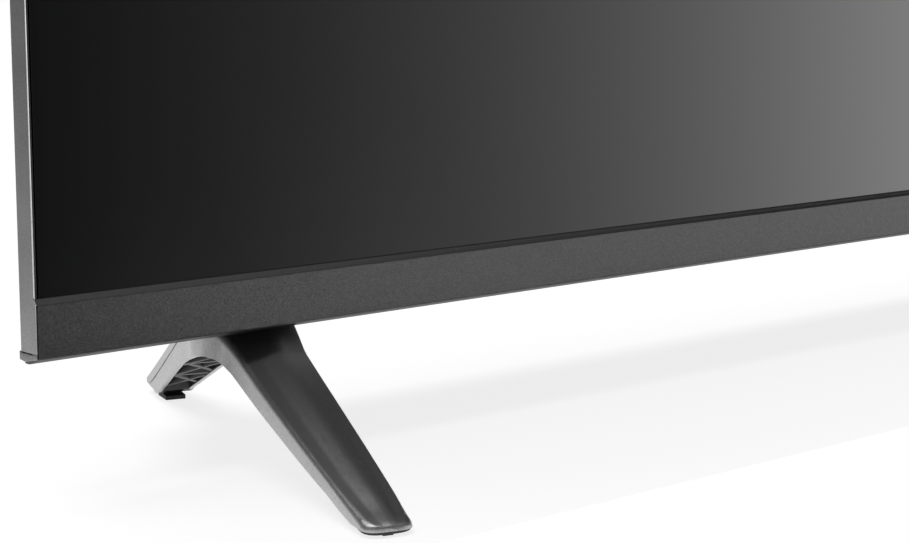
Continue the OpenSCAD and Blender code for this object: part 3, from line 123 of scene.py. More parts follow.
# %% [markdown]
# ## Two small tools for nodes
#
# Colours are written as the hex values that a paint chart would give, and shaders work in linear light,
# so one function converts. The other adds a node, sets it and links it in one line.

# %% Node tools
def linear(hex_colour):
    """An sRGB hex colour as linear red, green, blue and alpha."""
    shares = [int(hex_colour[i:i + 2], 16) / 255 for i in (1, 3, 5)]
    return [c / 12.92 if c <= 0.04045 else ((c + 0.055) / 1.055) ** 2.4 for c in shares] + [1.0]


def add(tree, kind, inputs=None, **settings):
    """A new node: settings are its own, inputs are values or the outputs that feed its sockets."""
    made = tree.nodes.new(kind)
    for name, value in settings.items():
        setattr(made, name, value)
    for socket, value in (inputs or {}).items():
        if isinstance(value, bpy.types.NodeSocket):
            tree.links.new(value, made.inputs[socket])
        else:
            made.inputs[socket].default_value = value
    return made


def per_mm(size):
    """Texture scale for features of that size in millimetres."""
    return 1 / (size * MM)


print("white is", linear("#ffffff")[:3])

# %% [markdown]
# ## Studio light
#
# The set stood in a white studio: a white backdrop, a large soft light to the right with a white sheet below it,
# a white wall to the left that ends above the ground, and a dark room in front and overhead. A glossy black
# screen shows exactly that, which is why it fades from near black on the left to grey on the right. The light
# ends before straight right, so that a screen seen from the far side is not washed out. The world is a soft
# gradient over directions, not a picture: a table of fades makes it. The camera, and light through clear plastic,
# see plain white.

# %% Light of the studio by direction
ROOM_DARK = 0.05
# A row of four joins two levels. A row of six fades along a direction, between two places on it, from one level
# to another. A level is a number or the name of an earlier row.
LEVELS = (
    # The large light to the right
    ("to_right", "MAXIMUM", "x", 0.0),
    ("rise", "POWER", "to_right", 6.56),
    ("rise", "MULTIPLY", "rise", 12.6),
    ("rise", "MINIMUM", "rise", 3.2),
    ("far_right", "x", 0.88, 0.97, 1.0, 0.15),
    ("right_light", "MULTIPLY", "rise", "far_right"),
    ("right_light", "z", -0.28, -0.2, 0.0, "right_light"),
    # The white wall to the left
    ("wall", "z", -0.2, -0.07, 0.2, 1.5),
    ("wall", "x", -0.3, -0.6, ROOM_DARK, "wall"),
    # The white sheet below the right light
    ("sheet", "z", -0.2, -0.26, 0.0, 14.0),
    ("sheet", "z", -0.45, -0.55, "sheet", 0.0),
    ("sheet", "x", 0.52, 0.61, 0.0, "sheet"),
    ("sheet", "x", 0.64, 0.8, "sheet", 0.0),
    ("in_front", "MAXIMUM", "right_light", "wall"),
    ("in_front", "ADD", "in_front", "sheet"),
    # The backdrop, whose left end is darker higher up
    ("backdrop", "z", -0.05, -0.3, 0.25, 1.4),
    ("backdrop", "x", -0.5, -0.2, "backdrop", 1.0),
    # The dark ceiling, which closes both
    ("overhead", "x", 0.15, 0.5, 0.1, 0.24),
    ("overhead", "x", 0.55, 0.8, "overhead", 0.07),
    ("in_front", "z", 0.0, 0.16, "in_front", "overhead"),
    ("backdrop", "z", 0.2, 0.55, "backdrop", "overhead"),
    ("studio", "y", -0.05, 0.35, "in_front", "backdrop"),
)
print("rows of studio light:", len(LEVELS))

# %% [markdown]
# The table becomes nodes: a Map Range with a smooth step for each fade, and a Math node for each join. A world's
# Generated coordinates are the direction in which a ray leaves the scene, as X, Y and Z between -1 and 1.

# %% World
world = bpy.data.worlds.new("white studio")
scene.world = world
world.use_nodes = True
sky = world.node_tree
sky.nodes.clear()
toward = add(sky, "ShaderNodeSeparateXYZ", {0: add(sky, "ShaderNodeTexCoord").outputs["Generated"]})
level = dict(zip("xyz", toward.outputs))
for name, how, *row in LEVELS:
    values = [level[value] if isinstance(value, str) else value for value in row]
    if how in level:
        ends = dict(zip(("From Min", "From Max", "To Min", "To Max"), values))
        made = add(sky, "ShaderNodeMapRange", {"Value": level[how], **ends}, interpolation_type="SMOOTHSTEP")
    else:
        made = add(sky, "ShaderNodeMath", dict(enumerate(values)), operation=how)
    level[name] = made.outputs[0]
rays = add(sky, "ShaderNodeLightPath").outputs
plain = add(sky, "ShaderNodeMath", {0: rays["Is Camera Ray"], 1: rays["Is Transmission Ray"]},
            operation="MAXIMUM").outputs[0]
strength = add(sky, "ShaderNodeMix", {0: plain, 2: level["studio"], 3: 1.0}).outputs[0]
glow = add(sky, "ShaderNodeBackground", {"Color": linear("#ffffff"), "Strength": strength})
add(sky, "ShaderNodeOutputWorld", {"Surface": glow.outputs[0]})
print("world nodes:", len(sky.nodes))

# %% [markdown]
# ## Key light and floor
#
# One very large soft light hangs high above the set, a little behind it and to the left. A sun lamp with a wide
# angle is the same thing seen from far away, and lights the whole floor evenly. It leaves a soft shadow below
# the set. The floor is a white sheet that starts just in front of the toes. Most of what the camera and mirrors
# see of it is its own white, so the ground stays white while the shadow remains as a soft grey. Mirrors see it
# a little brighter than the camera does, as the glossy side of a sheet would be.

# %% Key light and floor
key_data = bpy.data.lights.new("overhead soft light", "SUN")
key_data.energy = 1.6
key_data.angle = math.radians(44)
key = bpy.data.objects.new("overhead soft light", key_data)
key.rotation_euler = Vector((0.2, -0.12, -0.97)).to_track_quat("-Z", "Y").to_euler()
scene.collection.objects.link(key)

white_sheet = bpy.data.materials.new("white studio floor")
white_sheet.use_nodes = True
tree = white_sheet.node_tree
tree.nodes.clear()
OWN_WHITE, GLOW, MIRROR_GLOW = 0.62, 1.29, 0.4
rays = add(tree, "ShaderNodeLightPath").outputs
seen = add(tree, "ShaderNodeMath", {0: rays["Is Camera Ray"], 1: rays["Is Glossy Ray"]}, operation="MAXIMUM")
seen = add(tree, "ShaderNodeMath", {0: seen.outputs[0], 1: rays["Is Transmission Ray"]}, operation="MAXIMUM")
own = add(tree, "ShaderNodeMath", {0: seen.outputs[0], 1: OWN_WHITE}, operation="MULTIPLY")
glow = add(tree, "ShaderNodeMath", {0: rays["Is Glossy Ray"], 1: MIRROR_GLOW, 2: GLOW}, operation="MULTIPLY_ADD")
matt = add(tree, "ShaderNodeBsdfDiffuse", {"Color": linear("#f6f6f6")})
bright = add(tree, "ShaderNodeEmission", {"Color": linear("#ffffff"), "Strength": glow.outputs[0]})
both = add(tree, "ShaderNodeMixShader", {0: own.outputs[0], 1: matt.outputs[0], 2: bright.outputs[0]})
add(tree, "ShaderNodeOutputMaterial", {"Surface": both.outputs[0]})

FLOOR_LEFT, FLOOR_FRONT, FLOOR_RIGHT, FLOOR_BACK = -0.62, -0.132, 2.5, 3.0
floor_mesh = bpy.data.meshes.new("floor")
floor_mesh.from_pydata([(FLOOR_LEFT, FLOOR_FRONT, 0), (FLOOR_RIGHT, FLOOR_FRONT, 0),
                        (FLOOR_RIGHT, FLOOR_BACK, 0), (FLOOR_LEFT, FLOOR_BACK, 0)], [], [(0, 1, 2, 3)])
floor_mesh.materials.append(white_sheet)
floor = bpy.data.objects.new("floor", floor_mesh)
scene.collection.objects.link(floor)
floor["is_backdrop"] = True
print("overhead light", key_data.energy, "floor from", FLOOR_FRONT, "m")

# %% [markdown]
# ## Starting a finish
#
# Every finish here is one Principled shader plus patterns read from Object coordinates, which are
# the CAD frame itself. A pattern therefore has its real size on every piece and stays put in every pose.

# %% Starting a finish
def start_finish(name, colour, **sockets):
    """A material with one shader. Gives the material, its tree, its shader and the Object coordinates."""
    finish = bpy.data.materials.new(name)
    finish.use_nodes = True
    nodes_of = finish.node_tree
    nodes_of.nodes.clear()
    values = {key.replace("_", " ").title(): value for key, value in sockets.items()}
    if "Ior" in values:
        values["IOR"] = values.pop("Ior")
    shader = add(nodes_of, "ShaderNodeBsdfPrincipled", {"Base Color": linear(colour), **values})
    add(nodes_of, "ShaderNodeOutputMaterial", {"Surface": shader.outputs["BSDF"]})
    place = add(nodes_of, "ShaderNodeTexCoord").outputs["Object"]
    return finish, nodes_of, shader, place


finish_of = {}
print("slots that need a finish:", len(set(slot_of.values())))

# %% [markdown]
# ## Screen: anti-glare glass
#
# The front of a panel is a thin glass sheet with a polarising film, matt enough to blur lamps and still glossy.
# Switched off it is near black with a dielectric gloss, so nearly all that is seen is reflection.
# A faint cloudiness in the roughness, some 60 mm across, keeps it from looking like ink.
# The last 3 mm round the edge hold no pixels and are a deeper black.

# %% Screen glass
finish, tree, shader, place = start_finish("anti_glare_display_glass", "#08090a", roughness=0.11, ior=1.5)
cloud = add(tree, "ShaderNodeTexNoise", {"Vector": place, "Scale": per_mm(60), "Detail": 3.0})
haze = add(tree, "ShaderNodeMapRange", {"Value": cloud.outputs["Fac"], "To Min": 0.09, "To Max": 0.13})
tree.links.new(haze.outputs[0], shader.inputs["Roughness"])
glass_low, glass_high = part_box("lcd_cell")
across = add(tree, "ShaderNodeSeparateXYZ", {0: place}).outputs
BORDER = 3 * MM
side = add(tree, "ShaderNodeMath", {0: across[0]}, operation="ABSOLUTE").outputs[0]
side = add(tree, "ShaderNodeMath", {0: side, 1: glass_high.x - BORDER}, operation="GREATER_THAN").outputs[0]
top = add(tree, "ShaderNodeMath", {0: across[2], 1: glass_high.z - BORDER}, operation="GREATER_THAN").outputs[0]
edge = add(tree, "ShaderNodeMath", {0: side, 1: top}, operation="MAXIMUM").outputs[0]
black = add(tree, "ShaderNodeMix", {0: edge, 6: linear("#08090a"), 7: linear("#040405")}, data_type="RGBA")
tree.links.new(black.outputs[2], shader.inputs["Base Color"])
finish_of["screen_glass"] = finish
print("made", finish.name, "for a sheet", round((glass_high.x - glass_low.x) / MM), "mm wide")

# %% [markdown]
# ## Rails and lower lip: blasted and anodised aluminium
#
# The rails are extruded, blasted with fine glass beads and anodised dark grey. Blasting leaves a soft,
# even sparkle of tiny dents, so the metal is rather rough and slightly mottled. Real dents are some 0.05 mm;
# they are drawn at 0.8 mm here so that they show at all. The lower lip is the same metal dyed darker; the dye
# swallows light that passes it at a flat angle, so the lip stays grey even where it mirrors the white floor.
# The narrow lip beside the glass gets a darker copy of the rail metal: painted shade, for the shade the bright
# edge casts on it.

# %% Blasted aluminium
def blasted_aluminium(name, dark, light, roughness, grazing="#ffffff"):
    """Anodised metal with the mottle of bead blasting, and the tint it has at a flat angle."""
    finish, tree, shader, place = start_finish(name, light, metallic=1.0, roughness=roughness,
                                               specular_tint=linear(grazing))
    grain = add(tree, "ShaderNodeTexNoise", {"Vector": place, "Scale": per_mm(0.8), "Detail": 4.0,
                "Roughness": 0.6})
    patch = add(tree, "ShaderNodeTexNoise", {"Vector": place, "Scale": per_mm(14), "Detail": 2.0})
    mixed = add(tree, "ShaderNodeMix", {0: 0.3, 2: grain.outputs["Fac"], 3: patch.outputs["Fac"]})
    spread = add(tree, "ShaderNodeMapRange", {"Value": mixed.outputs[0], "From Min": 0.3, "From Max": 0.7})
    tone = add(tree, "ShaderNodeMix", {0: spread.outputs[0], 6: linear(dark), 7: linear(light)}, data_type="RGBA")
    dents = add(tree, "ShaderNodeBump", {"Height": grain.outputs["Fac"], "Strength": 0.25, "Distance": 0.02 * MM})
    tree.links.new(tone.outputs[2], shader.inputs["Base Color"])
    tree.links.new(dents.outputs[0], shader.inputs["Normal"])
    return finish


finish_of["rim_metal"] = blasted_aluminium("bead_blasted_anodised_aluminium", "#7a7a7b", "#979798", 0.28)
finish_of["lip_metal"] = blasted_aluminium("grey_dyed_aluminium", "#626264", "#6e6e70", 0.4, "#989898")
# Painted shade: a darker copy of the rail metal, put on the lip beside the glass
painted_shade_lip = blasted_aluminium("aluminium_in_painted_shade", "#303032", "#3c3c3e", 0.4, "#b0b0b0")
print("made", finish_of["rim_metal"].name, finish_of["lip_metal"].name, "and", painted_shade_lip.name)

# %% [markdown]
# After anodising, the front edge of each rail is cut once more with a diamond tool. That leaves a bare,
# mirror-bright chamfer with a few tiny ripples, which is the bright line round the screen.

# %% Diamond-cut edge
finish, tree, shader, place = start_finish("diamond_cut_aluminium", "#eceded", metallic=1.0, roughness=0.16)
ripple = add(tree, "ShaderNodeTexNoise", {"Vector": place, "Scale": per_mm(1.6), "Detail": 3.0})
waves = add(tree, "ShaderNodeBump", {"Height": ripple.outputs["Fac"], "Strength": 0.35, "Distance": 0.06 * MM})
tone = add(tree, "ShaderNodeMix", {0: ripple.outputs["Fac"], 6: linear("#d6d8d9"), 7: linear("#f6f6f6")},
           data_type="RGBA")
tree.links.new(tone.outputs[2], shader.inputs["Base Color"])
tree.links.new(waves.outputs[0], shader.inputs["Normal"])
bright_edge = finish
print("made", bright_edge.name)

# %% [markdown]
# ## Chin, caps and feet: metallic paint on ABS
#
# These are moulded plastic, sprayed with paint that holds aluminium flakes. Each flake is a tiny mirror at
# its own small angle: the colour sparkles when near and melts into a satin metal from a step away.
# A pattern of random cells gives every flake its own tilt and tone. Real flakes are 0.02 to 0.05 mm; they are
# drawn some eight times coarser so that the sparkle shows.

# %% Flake paint
def flake_paint(name, dark, light, roughness, flake, tilt, metallic=1.0):
    """Sprayed paint with metal flakes of a size in mm, each turned by up to the tilt."""
    finish, tree, shader, place = start_finish(name, light, metallic=metallic, roughness=roughness)
    flakes = add(tree, "ShaderNodeTexVoronoi", {"Vector": place, "Scale": per_mm(flake)})
    own = add(tree, "ShaderNodeSeparateColor", {0: flakes.outputs["Color"]})
    tone = add(tree, "ShaderNodeMix", {0: own.outputs[0], 6: linear(dark), 7: linear(light)}, data_type="RGBA")
    turn = add(tree, "ShaderNodeVectorMath", {0: flakes.outputs["Color"], 1: (0.5, 0.5, 0.5)},
               operation="SUBTRACT")
    turn = add(tree, "ShaderNodeVectorMath", {0: turn.outputs[0], "Scale": tilt}, operation="SCALE")
    normal = add(tree, "ShaderNodeNewGeometry").outputs["Normal"]
    bent = add(tree, "ShaderNodeVectorMath", {0: normal, 1: turn.outputs[0]}, operation="ADD")
    bent = add(tree, "ShaderNodeVectorMath", {0: bent.outputs[0]}, operation="NORMALIZE")
    peel = add(tree, "ShaderNodeTexNoise", {"Vector": place, "Scale": per_mm(3), "Detail": 2.0})
    skin = add(tree, "ShaderNodeBump", {"Height": peel.outputs["Fac"], "Strength": 0.08, "Distance": 0.1 * MM,
               "Normal": bent.outputs[0]})
    tree.links.new(tone.outputs[2], shader.inputs["Base Color"])
    tree.links.new(skin.outputs[0], shader.inputs["Normal"])
    return finish


finish_of["chin_plastic"] = flake_paint("dark_flake_paint_on_abs", "#323232", "#414141", 0.33, 0.24, 0.075, 0.92)
finish_of["cap_plastic"] = flake_paint("grey_flake_paint_on_abs", "#727273", "#868687", 0.34, 0.3, 0.14)
finish_of["foot_shell"] = flake_paint("silver_flake_paint_on_abs", "#a4a4a5", "#bababb", 0.43, 0.35, 0.11)
# Painted sheen: a paler, glossier copy of the flake paint for the chin's bevelled top edge, where the edge
# catches light
bevel_painted_sheen = flake_paint("painted_sheen_flake_paint_on_abs", "#727272", "#868686", 0.22, 0.25, 0.1)
print("made four flake paints")

# %% [markdown]
# ## Moulded plastic
#
# Covers, frames, keys and socket bodies are injection moulded. The mould is etched or spark eroded, so the
# plastic carries a fine even grain that scatters light, and a very faint cloudiness from the flow of the melt.
# One function makes them all: colour, size of the grain, how deep it is, and how glossy the tops are.

# %% Moulded plastic
def moulded(name, colour, second, grain, depth, roughness):
    """Injection-moulded plastic with a grain of a size and depth in mm."""
    finish, tree, shader, place = start_finish(name, colour, roughness=roughness, ior=1.53)
    cells = add(tree, "ShaderNodeTexNoise", {"Vector": place, "Scale": per_mm(grain), "Detail": 3.0,
                "Roughness": 0.55})
    flow = add(tree, "ShaderNodeTexNoise", {"Vector": place, "Scale": per_mm(45), "Detail": 2.0,
               "Distortion": 0.6})
    tone = add(tree, "ShaderNodeMix", {0: flow.outputs["Fac"], 6: linear(colour), 7: linear(second)},
               data_type="RGBA")
    gloss = add(tree, "ShaderNodeMapRange", {"Value": cells.outputs["Fac"], "From Min": 0.3, "From Max": 0.7,
                "To Min": roughness - 0.06, "To Max": roughness + 0.06})
    pits = add(tree, "ShaderNodeBump", {"Height": cells.outputs["Fac"], "Strength": 0.5, "Distance": depth * MM})
    tree.links.new(tone.outputs[2], shader.inputs["Base Color"])
    tree.links.new(gloss.outputs[0], shader.inputs["Roughness"])
    tree.links.new(pits.outputs[0], shader.inputs["Normal"])
    return finish


# Real grain is about 0.15 mm; it is drawn at 0.4 to 0.7 mm so that it shows from a step away
finish_of["cover_plastic"] = moulded("spark_eroded_black_abs", "#1b1c1e", "#202124", 0.7, 0.08, 0.56)
finish_of["black_plastic"] = moulded("moulded_black_polycarbonate", "#101113", "#141517", 0.5, 0.03, 0.48)
finish_of["key_plastic"] = moulded("satin_black_abs", "#1d1e21", "#232427", 0.4, 0.02, 0.34)
finish_of["foot_plastic"] = moulded("glass_filled_black_abs", "#17181a", "#1e1f21", 0.6, 0.06, 0.45)
finish_of["cable_plastic"] = moulded("ivory_pvc_sleeving", "#c8c3b6", "#d6d1c5", 0.6, 0.02, 0.45)
finish_of["rubber"] = moulded("black_silicone_rubber", "#0d0e0f", "#141415", 0.5, 0.05, 0.72)
print("made six moulded plastics")

# %% [markdown]
# ## Steel, brass and other metal
#
# The tray behind the light is pressed from coated sheet, dark and half matt.
# Screws are blackened steel. Socket shells and the wall-mount posts are bright plated steel with drawing
# lines along the sheet. All are one pattern: fine lines in one direction, and a tone that wanders.

# %% Metals
# A drawing line is twenty times as long as it is wide
LINE_STRETCH = 0.05


def drawn_metal(name, dark, light, roughness, line, direction, metallic=1.0):
    """Sheet or bar metal with fine lines of a spacing in mm along one axis."""
    finish, tree, shader, place = start_finish(name, light, metallic=metallic, roughness=roughness)
    shares = [LINE_STRETCH if axis == direction else 1 for axis in range(3)]
    stretch = add(tree, "ShaderNodeMapping", {"Vector": place, "Scale": shares})
    lines = add(tree, "ShaderNodeTexNoise", {"Vector": stretch.outputs[0], "Scale": per_mm(line), "Detail": 3.0})
    patch = add(tree, "ShaderNodeTexNoise", {"Vector": place, "Scale": per_mm(25), "Detail": 3.0})
    tone = add(tree, "ShaderNodeMix", {0: patch.outputs["Fac"], 6: linear(dark), 7: linear(light)},
               data_type="RGBA")
    gloss = add(tree, "ShaderNodeMapRange", {"Value": lines.outputs["Fac"], "From Min": 0.3, "From Max": 0.7,
                "To Min": roughness - 0.07, "To Max": roughness + 0.07})
    scratch = add(tree, "ShaderNodeBump", {"Height": lines.outputs["Fac"], "Strength": 0.2,
                  "Distance": 0.03 * MM})
    tree.links.new(tone.outputs[2], shader.inputs["Base Color"])
    tree.links.new(gloss.outputs[0], shader.inputs["Roughness"])
    tree.links.new(scratch.outputs[0], shader.inputs["Normal"])
    return finish


finish_of["dark_steel"] = drawn_metal("coated_steel_sheet", "#26282b", "#313337", 0.46, 1.2, 0, metallic=0.6)
finish_of["dark_screws"] = drawn_metal("blackened_steel", "#303236", "#45474b", 0.36, 0.5, 1)
finish_of["bright_steel"] = drawn_metal("plated_bright_steel", "#b0b3b6", "#c8cbcd", 0.26, 0.5, 2)
finish_of["dark_aluminium"] = drawn_metal("black_anodised_aluminium", "#2a2c2f", "#3b3d41", 0.42, 0.6, 2)
finish_of["brass"] = drawn_metal("turned_brass", "#b8964a", "#d2b269", 0.3, 0.4, 0)
contact_gold = drawn_metal("gold_plated_contacts", "#c99b3f", "#e2bd66", 0.24, 0.3, 0)
print("made six metals")

# %% [markdown]
# ## Circuit boards
#
# A board is glass fibre and resin under a coloured lacquer. The copper tracks below the lacquer lift it a
# little and show through as a paler tone, so the eye reads a board by its right-angled pattern of tracks.
# A Brick pattern gives tracks and pads of a real pitch, 2.5 mm, and a pattern of random cells the drill holes.

# %% Circuit boards
def board_lacquer(name, lacquer, track, roughness=0.3):
    """Lacquered circuit board with tracks at a 2.5 mm pitch."""
    finish, tree, shader, place = start_finish(name, lacquer, roughness=roughness, ior=1.5)
    flat = add(tree, "ShaderNodeMapping", {"Vector": place, "Rotation": (math.pi / 2, 0, 0)})
    tracks = add(tree, "ShaderNodeTexBrick", {"Vector": flat.outputs[0], "Scale": per_mm(2.5),
                 "Mortar Size": 0.05, "Color1": linear(lacquer), "Color2": linear(track),
                 "Mortar": linear(track)}, offset=0.37, squash=0.6)
    holes = add(tree, "ShaderNodeTexVoronoi", {"Vector": flat.outputs[0], "Scale": per_mm(4)})
    drilled = add(tree, "ShaderNodeMath", {0: holes.outputs["Distance"], 1: 0.1}, operation="LESS_THAN")
    tone = add(tree, "ShaderNodeMix", {0: drilled.outputs[0], 6: tracks.outputs["Color"], 7: linear("#b9a878")},
               data_type="RGBA")
    step = add(tree, "ShaderNodeBump", {"Height": tracks.outputs["Fac"], "Strength": 0.3, "Distance": 0.04 * MM})
    tree.links.new(tone.outputs[2], shader.inputs["Base Color"])
    tree.links.new(step.outputs[0], shader.inputs["Normal"])
    return finish


finish_of["green_board"] = board_lacquer("green_board_lacquer", "#174d2b", "#216338")
finish_of["blue_board"] = board_lacquer("blue_board_lacquer", "#1d4268", "#28557f")
finish_of["tan_board"] = board_lacquer("tan_paper_board", "#9b7a3a", "#b08d49", 0.5)
finish_of["white_board"] = board_lacquer("white_board_lacquer", "#d9d9d1", "#e6e6df", 0.35)
print("made four boards")

# %% [markdown]
# ## Sheets, films and small electrical finishes
#
# Behind the screen lie white plastic sheets, films with fine tracks, clear lenses, wound coils, paper cones
# and the dark window of the receiver. Little of them shows through the vents, yet each has its own surface:
# bands for windings and tracks, fibres for paper, a soft cloud for sheet.

# %% Banded and fibrous finishes
def banded(name, colour, second, pitch, axis, roughness):
    """Bands of a pitch in mm along an axis: tracks on film, turns of tape, ribs of flat cable."""
    finish, tree, shader, place = start_finish(name, colour, roughness=roughness)
    bands = add(tree, "ShaderNodeTexWave", {"Vector": place, "Scale": per_mm(pitch) * math.pi / 10,
                "Distortion": 0.4}, bands_direction=axis)
    tone = add(tree, "ShaderNodeMix", {0: bands.outputs["Fac"], 6: linear(colour), 7: linear(second)},
               data_type="RGBA")
    ribs = add(tree, "ShaderNodeBump", {"Height": bands.outputs["Fac"], "Strength": 0.3, "Distance": 0.05 * MM})
    tree.links.new(tone.outputs[2], shader.inputs["Base Color"])
    tree.links.new(ribs.outputs[0], shader.inputs["Normal"])
    return finish


finish_of["amber_film"] = banded("polyimide_film", "#8a5a1e", "#a06c2a", 0.8, "X", 0.3)
finish_of["yellow_plastic"] = banded("polyester_winding_tape", "#b7902e", "#c9a545", 4, "Y", 0.4)
finish_of["capacitor_sleeve"] = banded("shrunk_pvc_sleeve", "#1c2029", "#252a34", 3, "Y", 0.28)
finish_of["cone_paper"] = moulded("pressed_paper_pulp", "#232528", "#303236", 0.9, 0.12, 0.85)
finish_of["white_sheet"] = moulded("white_polyester_sheet", "#f1f1ee", "#f8f8f5", 1.5, 0.02, 0.5)

finish, tree, shader, place = start_finish("clear_acrylic", "#eef3f5", roughness=0.08, ior=1.49,
                                           transmission_weight=0.92)
frost = add(tree, "ShaderNodeTexNoise", {"Vector": place, "Scale": per_mm(2), "Detail": 3.0})
gloss = add(tree, "ShaderNodeMapRange", {"Value": frost.outputs["Fac"], "To Min": 0.04, "To Max": 0.16})
tree.links.new(gloss.outputs[0], shader.inputs["Roughness"])
finish_of["clear_plastic"] = finish

finish, tree, shader, place = start_finish("dark_infrared_acrylic", "#1a0a0d", roughness=0.1, ior=1.49,
                                           transmission_weight=0.25)
frost = add(tree, "ShaderNodeTexNoise", {"Vector": place, "Scale": per_mm(5), "Detail": 3.0})
tone = add(tree, "ShaderNodeMix", {0: frost.outputs["Fac"], 6: linear("#16080b"), 7: linear("#210d11")},
           data_type="RGBA")
tree.links.new(tone.outputs[2], shader.inputs["Base Color"])
finish_of["infrared_plastic"] = finish
missing = sorted(set(slot_of.values()) - set(finish_of))
print("finishes:", len(finish_of), "slots without one:", missing)

# %% [markdown]
# ## Every CAD node gets its finish
#
# Pieces deep inside the set keep their CAD shape. They only need their material, found by the slot that
# the record gives to each node.

# %% Finishes on the CAD nodes
for name, node in nodes.items():
    node.data.materials.clear()
    node.data.materials.append(finish_of[slot_of[name]])
print("finished", len(nodes), "nodes")

# %% [markdown]
# ## Easing the edges
#
# No real edge is a perfect corner: a mould is cut with a small radius, a pressing is rolled, metal is broken
# with a brush. That radius catches the light and is what makes an edge readable. A copy of the CAD mesh is
# merged, its flat faces are joined and cut again into plain triangles, and a Bevel of a fraction of a millimetre
# rounds every corner. Weighted normals keep the large faces flat.

# %% Tools for eased copies
MERGE = 0.002 * MM
FLAT_WITHIN, CORNER_FROM, EASE_STEPS = math.radians(0.6), math.radians(28), 2
CUT = ("TRIANGULATE", {"ngon_method": "BEAUTY", "min_vertices": 5})
EVEN = ("WEIGHTED_NORMAL", {"keep_sharp": True, "weight": 60})


def merged_copy(node):
    """The CAD node's triangles joined into one clean form, with flat faces whole."""
    form = bmesh.new()
    form.from_mesh(nodes[node].data)
    bmesh.ops.remove_doubles(form, verts=form.verts, dist=MERGE)
    bmesh.ops.dissolve_limit(form, angle_limit=FLAT_WITHIN, verts=form.verts, edges=form.edges)
    return form


def evaluated(holder):
    """A plain mesh of an object with its modifiers applied."""
    depsgraph = bpy.context.evaluated_depsgraph_get()
    return bpy.data.meshes.new_from_object(holder.evaluated_get(depsgraph), preserve_all_data_layers=True,
                                           depsgraph=depsgraph)


def with_modifiers(form, name, *modifiers):
    """The mesh after a list of (kind, settings) modifiers."""
    mesh = bpy.data.meshes.new(name)
    form.to_mesh(mesh)
    form.free()
    mesh.shade_smooth()
    holder = bpy.data.objects.new(name, mesh)
    scene.collection.objects.link(holder)
    for kind, settings in modifiers:
        modifier = holder.modifiers.new(kind.lower(), kind)
        for key, value in settings.items():
            setattr(modifier, key, value)
    done = evaluated(holder)
    bpy.data.objects.remove(holder)
    bpy.data.meshes.remove(mesh)
    done.name = name
    return done


def eased(form, name, width):
    """A mesh with its corners rounded by a width in mm, or left sharp at width 0."""
    if width == 0:
        for edge in form.edges:
            edge.smooth = edge.calc_face_angle(0) < CORNER_FROM
        return with_modifiers(form, name, CUT, EVEN)
    bevel = ("BEVEL", {"width": width * MM, "segments": EASE_STEPS, "limit_method": "ANGLE",
                       "angle_limit": CORNER_FROM, "use_clamp_overlap": False, "loop_slide": False})
    return with_modifiers(form, name, CUT, bevel, EVEN)


print("eased corners have", EASE_STEPS, "steps")

# %% [markdown]
# A finished mesh becomes a piece that rides on a body and stands for one CAD node. Before that, two measures
# say whether easing went wrong: how far the mesh leaves the node's box, and whether a face has folded over. If
# so, a smaller radius is tried, and then none.

# %% From a mesh to a piece
def show(mesh, node, finishes, body="television"):
    """Puts a finished mesh in the scene in place of a CAD node, as a piece that rides on a body."""
    mesh.materials.clear()
    for finish in finishes:
        mesh.materials.append(finish)
    piece = bpy.data.objects.new(node + "_piece", mesh)
    scene.collection.objects.link(piece)
    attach(piece, body)
    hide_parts(node)
    return piece


def strays(mesh, node, room=0.06):
    """How far a mesh leaves its node's box, in mm, past a little room."""
    low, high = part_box(node)
    out = max(max(low[i] - v.co[i], v.co[i] - high[i]) for v in mesh.vertices for i in range(3)) / MM
    return max(0.0, out - room)


def folded(mesh):
    """Share by which a mesh's triangles cover more than its faces, as they do where a face folds over."""
    mesh.calc_loop_triangles()
    return sum(part.area for part in mesh.loop_triangles) / sum(face.area for face in mesh.polygons) - 1


FOLD_ALLOWED, SMALLER = 2e-3, 0.4


def ease_node(node, width, finishes=None, pick=None, reshape=None, room=0.06):
    """Replaces a CAD node by a copy eased by a width in mm. pick chooses a finish number for each face,
    reshape changes the form first, and room is how far it may then leave the node's box."""
    for tried in (width, SMALLER * width, 0):
        form = merged_copy(node)
        if reshape:
            reshape(form)
        mesh = eased(form, node + "_piece", tried)
        out, fold = strays(mesh, node, room), folded(mesh)
        if out == 0 and fold < FOLD_ALLOWED:
            break
        print(node, "eased by", tried, "mm strays", round(out, 2), "mm, folds", round(fold, 5))
    show(mesh, node, finishes or [finish_of[slot_of[node]]])
    if pick:
        for face in mesh.polygons:
            face.material_index = pick(face)


print("tools ready")

# %% [markdown]
# ## Screen, rails, chin and lip
#
# These are long extrusions and mouldings. The rails carry three finishes: blasted metal all round, the bright
# diamond-cut chamfer, and painted shade on the lip beside the glass. Each face's finish is chosen by the way it
# points:
# the chamfer looks forward and outward at once. The chin's bevelled top edge gets a paler paint, which is a
# painted sheen.

# %% Front pieces
FORWARD, OUTWARD = -0.2, 0.3


def rail_finish(face):
    """1 for the bright chamfer, 2 for the painted shade on the lip beside the glass, 0 for blasted metal."""
    outward = max(face.normal.x * math.copysign(1, face.center.x), face.normal.z)
    if face.normal.y < FORWARD:
        return 1 if outward > OUTWARD else 2
    return 0


# The rail's outer corner and front in CAD, and where its chamfer and lip end there and here, in mm
RIM_X, RIM_Z, FRONT_Y, SETBACK, SAME = 478.5, 611.6, -13.495, 0.8, 0.01
CAD_EDGE_IN, CAD_EDGE_BACK, CAD_LIP_IN = 0.49, 0.91, 1.5
EDGE_IN, EDGE_BACK, LIP_IN = 0.24, 0.5, 0.95


